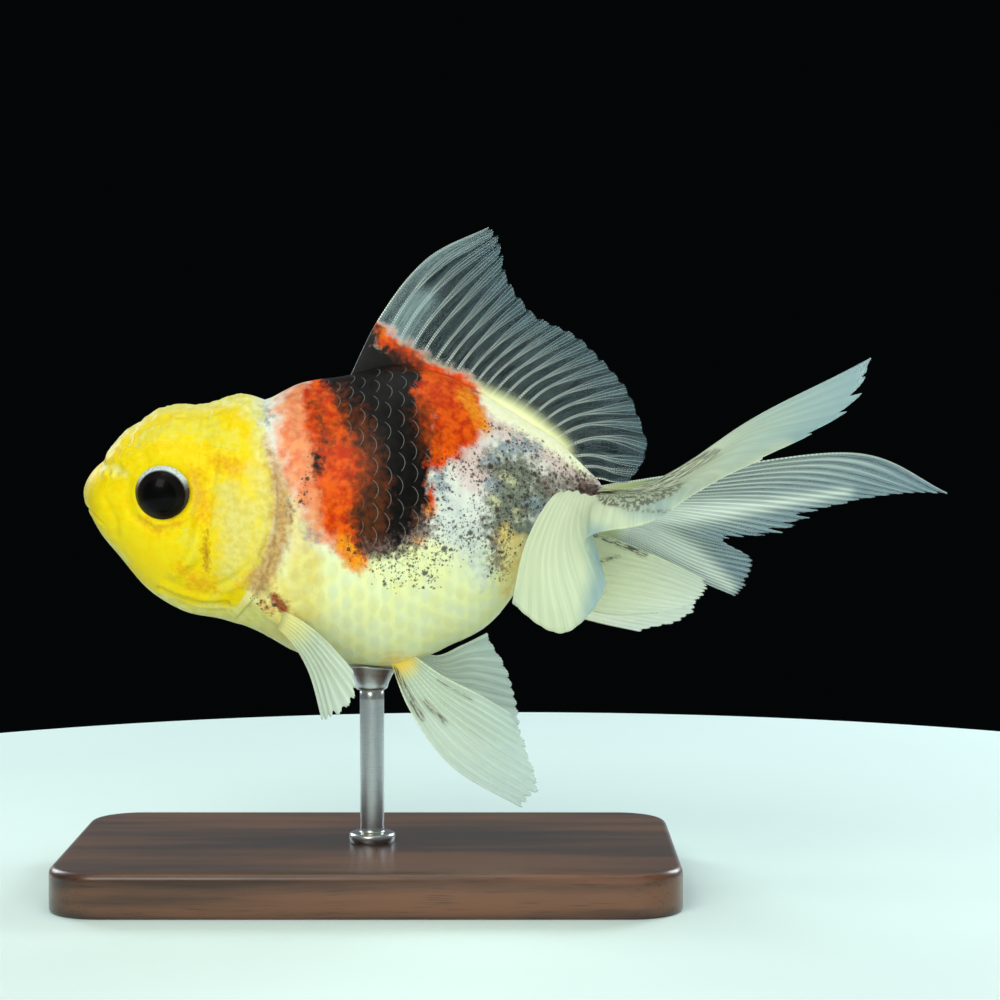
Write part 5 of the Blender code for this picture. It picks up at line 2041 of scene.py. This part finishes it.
@dataclass
class Fin:
    """A fin's skin and its rays, following its key rays. Lengths are in millimetres.

    In its methods, ray is a place in the count of rays, and share is how far out along them it
    lies. Each pair that ends in rise or fall is two such shares.
    """

    plan: FinPlan
    placement: Placement
    rows: int = 46
    columns_per_ray: int = 8
    rim_half: float = 0.032
    trim_share: float = 0.6
    rounded_rays: float = 6.0
    fine_teeth: float = 4.0
    tears: float = 0.72
    pleat_rise: tuple[float, float] = (0.05, 0.35)
    ruffle_rise: tuple[float, float] = (0.0, 0.14)
    ruffle_fall: tuple[float, float] = (0.20, 0.42)
    wave_rise: tuple[float, float] = (0.15, 0.5)
    ray_step: float = 0.2
    share_step: float = 0.01
    sway_most: float = 0.16
    milk_edge: tuple[float, float] = (-1.3, 1.0)
    twigs: tuple[float, ...] = (-0.37, -0.13, 0.13, 0.37)
    outer_twig: float = 0.2
    twig_gap: float = 0.06
    twig_overlap: float = 0.02
    leading_width: float = 1.9
    outer_width: float = 0.72
    taper: float = 0.62
    bead_girth: tuple[float, float] = (0.88, 0.24)

    def __post_init__(self) -> None:
        """Works out the key rays' paths, and draws how each ray's tip and course vary."""
        plan = self.plan
        self.paths = np.array([(k.root, k.inner, k.outer, k.tip) for k in plan.keys], float)
        chance = np.random.default_rng(plan.seed)
        self.trim = chance.uniform(0.0, self.trim_share * plan.ragged, plan.rays + 1)
        self.trim[0] = 0.0
        self.numbers = plan.numbers or np.linspace(0, plan.rays - 1, len(plan.keys))
        self.sway = chance.uniform(-self.sway_most, self.sway_most, plan.rays + 1)

    def at(self, ray: Array, share: Array) -> Array:
        """Plan points at ray numbers and shares of the way out along them.

        Args:
            ray: ray numbers.
            share: shares of the way out.

        Returns:
            One point for each pair.
        """
        lines = np.array([through(path, 3.0 * share) for path in self.paths])
        slopes = np.gradient(lines, axis=0)
        t = np.interp(ray, self.numbers, np.arange(len(self.paths), dtype=float))
        i = np.clip(t.astype(int), 0, len(self.paths) - 2)
        low, high = (i, np.arange(len(share))), (i + 1, np.arange(len(share)))
        return hermite((t - i)[:, None], (lines[low], lines[high]), (slopes[low], slopes[high]))

    def facing(self, ray: Array, share: Array) -> Array:
        """The directions square to the fin.

        Args:
            ray: ray numbers.
            share: shares of the way out.

        Returns:
            One direction of length 1 for each pair.
        """
        across = self.at(ray + self.ray_step, share) - self.at(ray - self.ray_step, share)
        inwards = np.maximum(share - self.share_step, 0.0)
        outwards = np.minimum(share + self.share_step, 1.0)
        return unit(np.cross(self.at(ray, outwards) - self.at(ray, inwards), across))

    def reach(self, ray: Array) -> Array:
        """How far out the fin's skin comes: full at the rays' branches, notched between them.

        Args:
            ray: ray numbers.

        Returns:
            The share of the full length at each.
        """
        plan = self.plan
        whole = np.clip(np.round(ray).astype(int), 0, plan.rays)
        between = np.abs(2.0 * (ray - np.round(ray))) ** 1.6
        fine = 0.5 - 0.5 * np.cos(2 * math.pi * (self.fine_teeth * ray + 0.5))
        last = np.clip((plan.rays - 1 - ray) / self.rounded_rays, 0.0, 1.0)
        first, end, depth = plan.strips
        torn = ramp(ray, first, first + 1) * (1 - ramp(ray, end - 1, end))
        torn = torn * np.mod(self.tears * ray, 1.0) ** 1.4
        notch = plan.ragged * (0.75 * between + 0.30 * fine) + plan.rounded * (1 - last) ** 2
        notch += depth * torn + plan.saw * np.mod(ray + 0.5, 1.0) ** 1.3
        return 1.0 - notch - self.trim[whole]

    def fold(self, ray: Array, share: Array) -> Array:
        """How far the skin's pleats stand off the fin's middle, in millimetres.

        Args:
            ray: ray numbers.
            share: shares of the way out.

        Returns:
            The height at each pair.
        """
        swell = 0.5 * np.sin(0.9 * ray + 3.0 * share + self.plan.seed)
        pleats = self.plan.pleat * ramp(share, *self.pleat_rise) * (np.cos(2 * math.pi * ray) + swell)
        ruffles = ramp(share, *self.ruffle_rise) * (1 - ramp(share, *self.ruffle_fall))
        ruffles = ruffles * np.sin(2.1 * ray + 4.0 * share)
        waves = ramp(share, *self.wave_rise) * np.sin(15.0 * share + 0.35 * ray)
        return pleats + self.plan.ruffle * ruffles + self.plan.waves * waves

    def skin(self) -> bpy.types.Object:
        """The fin's skin as one closed sheet."""
        plan = self.plan
        columns = self.columns_per_ray * (plan.rays - 1) + 1
        ray, row = np.meshgrid(np.linspace(0, plan.rays - 1, columns), np.linspace(0, 1, self.rows))
        share = row * self.reach(ray)
        ray, share = ray.ravel(), share.ravel()
        out = self.facing(ray, share)
        middle = self.at(ray, share) + out * self.fold(ray, share)[:, None]
        half = lerp(plan.root_half, self.rim_half, ramp(share, 0.0, plan.finish.root_end))[:, None]
        shape = (self.rows, columns, 3)
        front, back = (middle + out * half).reshape(shape), (middle - out * half).reshape(shape)
        points, faces = slab_mesh(front, back)
        made = build_mesh(f"{plan.name}_fin_skin", self.placement.metres(points), faces)
        write_values(made, "along", np.tile(share, 2))
        write_values(made, "lane", np.tile(ray, 2))
        x, z = points[:, 0], points[:, 2]
        write_values(made, "blot", deepest_in(x, z, plan.blots))
        write_values(made, "milk", ramp(deepest_in(x, z, plan.milk), *self.milk_edge))
        flat = np.stack([ray / (plan.rays - 1), row.ravel()], axis=-1) * [0.48, 0.96]
        write_map(made, np.concatenate([flat + 0.01, flat + [0.51, 0.01]]))
        return made

    def strands(self) -> list[tuple[Array, Array, float]]:
        """The rays' strands: for each, its ray numbers, its shares along and its width."""
        plan, found = self.plan, []
        for number in range(plan.rays):
            line = self.at(np.full(9, float(number)), np.linspace(0, 1, 9))
            length = np.linalg.norm(np.diff(line, axis=0), axis=1).sum()
            leading = number in (0, plan.rays - 1)
            fork = plan.branch - self.twig_overlap
            for offset in (0.0,) if leading else self.twigs:
                outer = abs(offset) > self.outer_twig
                start = fork if outer else self.twig_overlap
                end = float(self.reach(np.array([number + offset]))[0])
                count = max(int(length * (end - start) / plan.joint), 6)
                share = np.linspace(start, end, count)
                apart = self.twig_gap * ramp(share, 0.0, 0.22) * np.sign(offset)
                spread = ramp(share, fork, 1.0) ** 0.8
                ray = number + lerp(apart, offset, spread) + self.sway[number] * share * (1 - share)
                thick = self.leading_width if leading else self.outer_width if outer else 1.0
                found.append((np.clip(ray, 0, plan.rays - 1), share, plan.ray_width * thick))
        return found

    def rays(self, tree: bpy.types.NodeTree, finish: bpy.types.Material) -> bpy.types.Object:
        """The bony rays, grown by geometry nodes along their strands.

        Args:
            tree: the geometry nodes that grow them.
            finish: their material.

        Returns:
            The rays, joined.
        """
        points, edges, girth, along, beads = [], [], [], [], []
        for ray, share, width in self.strands():
            place = self.at(ray, share) + self.facing(ray, share) * self.fold(ray, share)[:, None]
            first = sum(len(p) for p in points)
            edges += [(first + i, first + i + 1) for i in range(len(place) - 1)]
            bead = np.arange(len(place)) % 2
            thin, swollen = self.bead_girth
            points.append(place)
            girth.append(0.5 * width * (1.0 - self.taper * share) * (thin + swollen * bead))
            along.append(share)
            beads.append(bead)
        places = self.placement.metres(np.concatenate(points))
        host = plain_object(f"{self.plan.name}_strands", places, edges)
        write_values(host, "girth", np.concatenate(girth) * MM)
        write_values(host, "along", np.concatenate(along))
        write_values(host, "bead", np.concatenate(beads).astype(float))
        values = {"Sides": 4, "Finish": finish, "Thickness": 1.0}
        return grown(host, tree, values, f"{self.plan.name}_fin_rays")

    @staticmethod
    def tree() -> bpy.types.NodeTree:
        """Geometry nodes that grow a jointed ray along each line of points."""
        wiring, given = geometry_tree("jointed_rays", {
            "Lines": "Geometry", "Sides": "Int", "Thickness": "Float", "Finish": "Material",
        })
        girth = wiring.out("GeometryNodeInputNamedAttribute", {0: "girth"}, data_type="FLOAT")
        ring = {"Resolution": given["Sides"], "Radius": 1.0}
        rays = wiring.out("GeometryNodeCurveToMesh", {
            "Curve": wiring.out("GeometryNodeMeshToCurve", {"Mesh": given["Lines"]}),
            "Profile Curve": wiring.out("GeometryNodeCurvePrimitiveCircle", ring),
            "Scale": wiring.times(girth, given["Thickness"]), "Fill Caps": True,
        })
        rays = wiring.out("GeometryNodeRealizeInstances", {0: rays})
        dressed = {"Geometry": rays, "Material": given["Finish"]}
        wiring.add("NodeGroupOutput", {0: wiring.out("GeometryNodeSetMaterial", dressed)})
        return wiring.tree


# ---- Eyes ----


@dataclass(frozen=True)
class Eye:
    """A glassy globe that looks out to the side, a little ahead and down."""

    ahead: float = math.radians(7.6)
    down: float = math.radians(5.7)
    bulge: float = 0.02
    bulge_end: float = 0.85
    rings: int = 60
    spokes: int = 80
    map_share: float = 0.155

    def build(self, side: Side, placement: Placement) -> bpy.types.Object:
        """One eye, on the centre of its CAD node.

        Args:
            side: the eye's side.
            placement: gives the plan's directions.

        Returns:
            The eye, with each vertex's angle from the gaze and its height stored.
        """
        low, high = (np.array(corner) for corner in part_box(f"eye_{side.label}"))
        centre, radius = (low + high) / 2, (high - low).max() / 2
        gaze = unit(np.array([-math.tan(self.ahead), side.value, -math.tan(self.down)]))
        up = unit(np.array([0.0, 0.0, 1.0]) - gaze[2] * gaze)
        level = np.cross(gaze, up)
        polar = np.linspace(0.0, math.pi, self.rings + 2)[1:-1, None]
        turn = (np.arange(self.spokes) * 2 * math.pi / self.spokes)[None, :]
        polar, turn = np.broadcast_arrays(polar, turn)
        polar = np.concatenate([polar.ravel(), [0.0, math.pi]])
        turn = np.concatenate([turn.ravel(), [0.0, 0.0]])
        swell = 1 + self.bulge * (1 - ramp(polar, 0.0, self.bulge_end))
        sideways = np.sin(turn)[:, None] * up + np.cos(turn)[:, None] * level
        ways = np.cos(polar)[:, None] * gaze + np.sin(polar)[:, None] * sideways
        points = centre + radius * swell[:, None] * ways
        faces = grid_faces(self.rings, self.spokes, wrap=True)
        fans = pole_fans(self.rings, self.spokes)
        made = build_mesh(f"eye_globe_{side.label}", points, faces, fans)
        write_values(made, "gaze", polar)
        write_values(made, "up", ways @ up)
        around = np.stack([np.cos(turn), np.sin(turn)], axis=-1)
        write_map(made, 0.5 + self.map_share * polar[:, None] * around)
        return made


# ---- Stand ----


def ring_mesh(name: str, rings: Array) -> bpy.types.Object:
    """A closed body through rings of points in metres, with its bake map.

    Args:
        name: the body's name.
        rings: the rings in order, with as many points in each.

    Returns:
        The body.
    """
    rows, columns, _ = rings.shape
    points = np.concatenate([rings.reshape(-1, 3), [rings[0].mean(axis=0), rings[-1].mean(axis=0)]])
    faces = grid_faces(rows, columns, wrap=True)
    made = build_mesh(name, points, faces, pole_fans(rows, columns))
    row, column = np.meshgrid(np.linspace(0.04, 0.96, rows), np.arange(columns), indexing="ij")
    flat = np.stack([0.01 + 0.96 * (column.ravel() / columns), row.ravel()], axis=-1)
    write_map(made, np.concatenate([flat, [[0.5, 0.01], [0.5, 0.99]]]), wraps=True)
    return made


@dataclass(frozen=True)
class Stand:
    """A rounded board, a steel rod and a small cup under the belly. Sizes are in millimetres.

    collar_chamfer is how far the collar's inner edge stands out and up, and how far over it the
    plain rod starts. cup_foot and cup_lip are shares of the rim's radius and the cup's height.
    """

    form: BodyForm
    placement: Placement
    corner: float = 6.0
    corner_steps: int = 14
    bevel: float = 0.9
    bevel_steps: int = 7
    foot_bevel: float = 0.4
    top_insets: Point = (1.6, 3.0, 4.6)
    spokes: int = 64
    collar: float = 2.7
    collar_height: float = 1.1
    collar_wall: float = 0.55
    sunk: float = 0.2
    collar_chamfer: Point = (0.18, 0.16, 0.6)
    rod_rings: int = 12
    rod_into_cup: float = 0.4
    rim: float = 2.9
    belly_gap: float = 0.16
    cup_overlap: float = 0.25
    cup_foot: tuple[tuple[float, float], ...] = ((0.55, 0.0), (0.62, 0.05))
    cup_lip: tuple[tuple[float, float], ...] = (
        (0.985, 0.985), (0.94, 1.0), (0.80, 1.0), (0.60, 1.0), (0.40, 1.0), (0.20, 1.0),
    )

    def extent(self, node: str) -> tuple[Array, Array]:
        """A CAD node's box in plan millimetres."""
        low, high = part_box(node)
        return self.placement.plan(low), self.placement.plan(high)

    def outline(self, low: Array, high: Array, inset: float, z: float) -> Array:
        """The board's outline, drawn in by an inset, at height z.

        Args:
            low: the lowest corner of the board's box.
            high: its highest corner.
            inset: how far to draw in.
            z: the height.

        Returns:
            The points in order round it.
        """
        corner = self.corner - inset
        half = (high - low)[:2] / 2 - self.corner
        middle = (high + low)[:2] / 2
        turn = np.linspace(0.0, math.pi / 2, self.corner_steps + 1)
        quarters = []
        for quarter, (sx, sy) in enumerate(((1, 1), (-1, 1), (-1, -1), (1, -1))):
            angle = turn + quarter * math.pi / 2
            x = middle[0] + sx * half[0] + corner * np.cos(angle)
            y = middle[1] + sy * half[1] + corner * np.sin(angle)
            quarters.append(np.stack([x, y, 0 * x + z], axis=-1))
        return np.concatenate(quarters)

    def board(self) -> bpy.types.Object:
        """The base: a flat board with rounded corners and a rounded upper edge."""
        low, high = self.extent("stand_base")
        turn = np.linspace(0.0, math.pi / 2, self.bevel_steps)
        falling, rising = 1 - np.sin(turn), 1 - np.cos(turn)
        levels = [*zip(self.foot_bevel * falling, low[2] + self.foot_bevel * rising)]
        levels += zip(self.bevel * rising, high[2] - self.bevel * falling)
        levels += [(inset, high[2]) for inset in self.top_insets]
        rings = np.array([self.outline(low, high, *level) for level in levels])
        return ring_mesh("stand_board", self.placement.metres(rings))

    def turned(self, name: str, profile: Sequence[tuple[float, float]]) -> bpy.types.Object:
        """A body turned about the rod's axis from pairs of radius and height.

        Args:
            name: the body's name.
            profile: the pairs, from foot to top.

        Returns:
            The body.
        """
        turn = (np.arange(self.spokes) * 2 * math.pi / self.spokes)[None, :]
        radius, height = (column[:, None] for column in np.array(profile).T)
        low, high = self.extent("stand_rod")
        x, y = (low + high)[:2] / 2
        x, y = x + radius * np.cos(turn), y + radius * np.sin(turn)
        return ring_mesh(name, self.placement.metres(np.stack([x, y, height + 0 * turn], axis=-1)))

    def rod(self) -> bpy.types.Object:
        """The rod, with a low collar where it stands in the board."""
        low, high = self.extent("stand_rod")
        radius, top = (high - low)[0] / 2, high[2] + self.rod_into_cup
        foot, tall = self.extent("stand_base")[1][2], self.collar_height
        wall, curve = self.collar_wall, 1 - self.collar_wall
        profile = [(self.collar, foot - self.sunk), (self.collar, foot + wall * tall)]
        for t in np.linspace(0.0, math.pi / 2, self.bevel_steps)[1:]:
            inward = curve * tall * (1 - math.cos(t))
            profile.append((self.collar - inward, foot + tall * (wall + curve * math.sin(t))))
        out, up, clear = self.collar_chamfer
        profile += [(radius + out, foot + tall), (radius, foot + tall + up)]
        profile += [(radius, z) for z in np.linspace(foot + tall + clear, top, self.rod_rings)]
        return self.turned("stand_steel_rod", profile)

    def belly(self, x: Array, y: Array) -> Array:
        """The height of the fish's underside over a place.

        Args:
            x: places along the fish.
            y: places across it.

        Returns:
            The height at each place.
        """
        share = np.clip(y / self.form.profile(x, "half_width"), -0.99, 0.99)
        middle, low = self.form.middle(x), self.form.profile(x, "belly")
        return middle - (middle - low) * np.sqrt(1 - share**2)

    def cup(self) -> bpy.types.Object:
        """The cup, whose upper face takes the curve of the belly."""
        low, high = self.extent("stand_cup")
        foot, (x0, y0) = low[2], (low + high)[:2] / 2
        turn = np.arange(self.spokes) * 2 * math.pi / self.spokes
        rings = []
        flare = [(lerp(0.64, 1.0, share**1.6), share) for share in np.linspace(0.1, 0.94, 12)]
        for radius, share in (*self.cup_foot, *flare, *self.cup_lip):
            x = x0 + self.rim * radius * np.cos(turn)
            y = y0 + self.rim * radius * np.sin(turn)
            top = self.belly(x, y) - self.belly_gap
            rings.append(np.stack([x, y, lerp(foot - self.cup_overlap, top, share)], axis=-1))
        return ring_mesh("stand_steel_cup", self.placement.metres(np.array(rings)))


# ---- Studio ----


@dataclass(frozen=True)
class Softbox:
    """A square lamp that looks at the middle of the object. place is in metres from there."""

    name: str
    place: Point
    size: float
    power: float
    colour: Colour = (255, 255, 255)
    mirrored: bool = True


LAMPS = (
    Softbox("key", (-0.14, -0.30, 0.26), 0.20, 0.72, (255, 253, 244)),
    Softbox("front_fill", (0.10, -0.38, 0.09), 0.30, 0.74, (248, 254, 255), False),
    Softbox("low_fill", (-0.02, -0.17, -0.030), 0.05, 0.085, (250, 255, 250), False),
    Softbox("top", (0.02, 0.00, 0.34), 0.26, 0.42, (248, 254, 254)),
    Softbox("back_right", (0.26, 0.26, 0.16), 0.16, 0.85, (236, 248, 255)),
    Softbox("back_left", (-0.26, 0.24, 0.14), 0.14, 0.50, (240, 250, 255)),
)


@dataclass(frozen=True)
class Studio:
    """The floor, the dark surroundings, the lamps and the camera. Sizes are in metres."""

    floor_radius: float = 0.150
    floor_spokes: int = 160
    floor_edge: tuple[tuple[float, float], ...] = (
        (0.002, 0.004), (0.0, 0.0036), (0.0, 0.0012), (0.0004, 0.0004), (0.0014, 0.0), (0.05, 0.0),
        (0.11, 0.0),
    )
    soft_light: tuple[float, ...] = (0.17, 0.19, 0.195, 1.0)
    backdrop: tuple[float, ...] = (0.0014, 0.0018, 0.0020, 1.0)
    camera_distance: float = 0.300
    camera_height: float = math.radians(3.0)
    camera_lens: float = 93.9
    aim: Point = (-0.0016, 0.0, 0.0065)

    def middle(self) -> Array:
        """The middle of the CAD model."""
        return (np.array(CAD_BOX[0]) + np.array(CAD_BOX[1])) / 2

    def floor(self) -> bpy.types.Object:
        """A round, pale floor under the stand."""
        middle, foot = self.middle(), CAD_BOX[0][2]
        turn = np.arange(self.floor_spokes) * 2 * math.pi / self.floor_spokes
        rings = []
        for inset, drop in self.floor_edge:
            radius = self.floor_radius - inset
            x, y = middle[0] + radius * np.cos(turn), middle[1] + radius * np.sin(turn)
            rings.append(np.stack([x, y, 0 * x + foot - drop], axis=-1))
        made = ring_mesh("studio_floor", np.array(rings))
        made.data.materials.append(FloorFinish().make())
        return made

    def world(self) -> None:
        """Dark surroundings that still give a soft light from all round."""
        world = bpy.data.worlds.new("studio_world")
        bpy.context.scene.world = world
        world.use_nodes = True
        wiring = Wiring(world.node_tree)
        seen = wiring.add("ShaderNodeLightPath").outputs["Is Camera Ray"]
        shade = wiring.mix(seen, self.soft_light, self.backdrop)
        world.node_tree.links.new(shade, world.node_tree.nodes["Background"].inputs["Color"])

    def lamp(self, box: Softbox) -> None:
        """One lamp, turned to the middle of the object.

        Args:
            box: the lamp's size, place and power.
        """
        light = bpy.data.lights.new(f"lamp_{box.name}", "AREA")
        light.shape, light.size = "SQUARE", box.size
        light.energy, light.color = box.power, tint(box.colour)[:3]
        made = linked(light.name, light)
        made.location = self.middle() + np.array(box.place)
        made.rotation_euler = turned_to(-np.array(box.place))
        made.visible_camera = False
        made.visible_glossy = box.mirrored

    def camera(self) -> None:
        """The camera, level with the fish and a little above it."""
        lens = bpy.data.cameras.new("camera")
        lens.sensor_width, lens.lens = 36.0, self.camera_lens
        lens.clip_start, lens.clip_end = 0.01, 10.0
        made = linked("camera", lens)
        away = np.array([0.0, -math.cos(self.camera_height), math.sin(self.camera_height)])
        made.location = self.middle() + np.array(self.aim) + self.camera_distance * away
        made.rotation_euler = turned_to(-away)
        bpy.context.scene.camera = made

    def build(self) -> None:
        """Everything round the object."""
        self.floor()
        self.world()
        for box in LAMPS:
            self.lamp(box)
        self.camera()
        bpy.context.scene.view_settings.view_transform = "Standard"


def turned_to(way: Array) -> tuple[float, float, float]:
    """The turn that points a lamp or a camera along a direction."""
    x, y, z = unit(np.asarray(way, float))
    return (math.acos(-z), 0.0, math.atan2(-x, y) if x or y else 0.0)


# ---- Assembly ----


def build_fish(form: BodyForm, placement: Placement, coat: Coat, tree: bpy.types.NodeTree) -> None:
    """The fish: its skin, scales, eyes and fins.

    Args:
        form: its outline.
        placement: carries the plan into the frame.
        coat: its markings.
        tree: the shader group of the markings.
    """
    eye_low, eye_high = (placement.plan(corner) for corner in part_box("eye_left"))
    eye = tuple((eye_low + eye_high)[[0, 2]] / 2)
    skin_plan = Skin(form, placement, SkinRelief(form, eye))
    skin = skin_plan.build()
    coat.write(skin, placement.plan(places_of(skin)))

    scales = ScaleCoat(form, placement, skin_plan)
    scale_finish = ScaleFinish().make(tree)
    scale, scale_tree = scales.one_scale(), scales.tree()
    for side in Side:
        made = scales.build(side, scale_tree, scale, skin, scale_finish)
        coat.write(made, placement.plan(places_of(made)))
        finish_piece(made, scale_finish)
    bpy.data.objects.remove(scale)
    finish_piece(skin, SkinFinish().make(tree), Skin.nodes)

    eye_finish = EyeFinish().make()
    for side in Side:
        finish_piece(Eye().build(side, placement), eye_finish, [f"eye_{side.label}"])

    ray_tree = Fin.tree()
    finishes = {plan.finish.name: plan.finish.make(tree) for plan in FINS}
    bones = {plan.bone.name: plan.bone.make(tree) for plan in FINS}
    for plan in FINS:
        fin = Fin(plan, placement)
        sheet = fin.skin()
        rays = fin.rays(ray_tree, bones[plan.bone.name])
        if plan.finish.inked:
            for made in (sheet, rays):
                coat.write(made, placement.plan(places_of(made)))
        finish_piece(sheet, finishes[plan.finish.name], plan.nodes)
        finish_piece(rays, bones[plan.bone.name])


def build_stand(form: BodyForm, placement: Placement) -> None:
    """The stand's three pieces.

    Args:
        form: the fish's outline, which the cup takes.
        placement: carries the plan into the frame.
    """
    stand = Stand(form, placement)
    steel = SteelFinish().make()
    finish_piece(stand.board(), WoodFinish().make(), ["stand_base"])
    finish_piece(stand.rod(), steel, ["stand_rod"])
    finish_piece(stand.cup(), steel, ["stand_cup"])


def main() -> None:
    """Builds the whole scene."""
    logging.basicConfig(level=logging.INFO, format="%(message)s")
    form = BodyForm()
    placement = Placement(form)
    coat = Coat()
    build_fish(form, placement, coat, coat.group())
    build_stand(form, placement)
    Studio().build()
    bpy.context.view_layer.update()


if __name__ == "__main__":
    main()
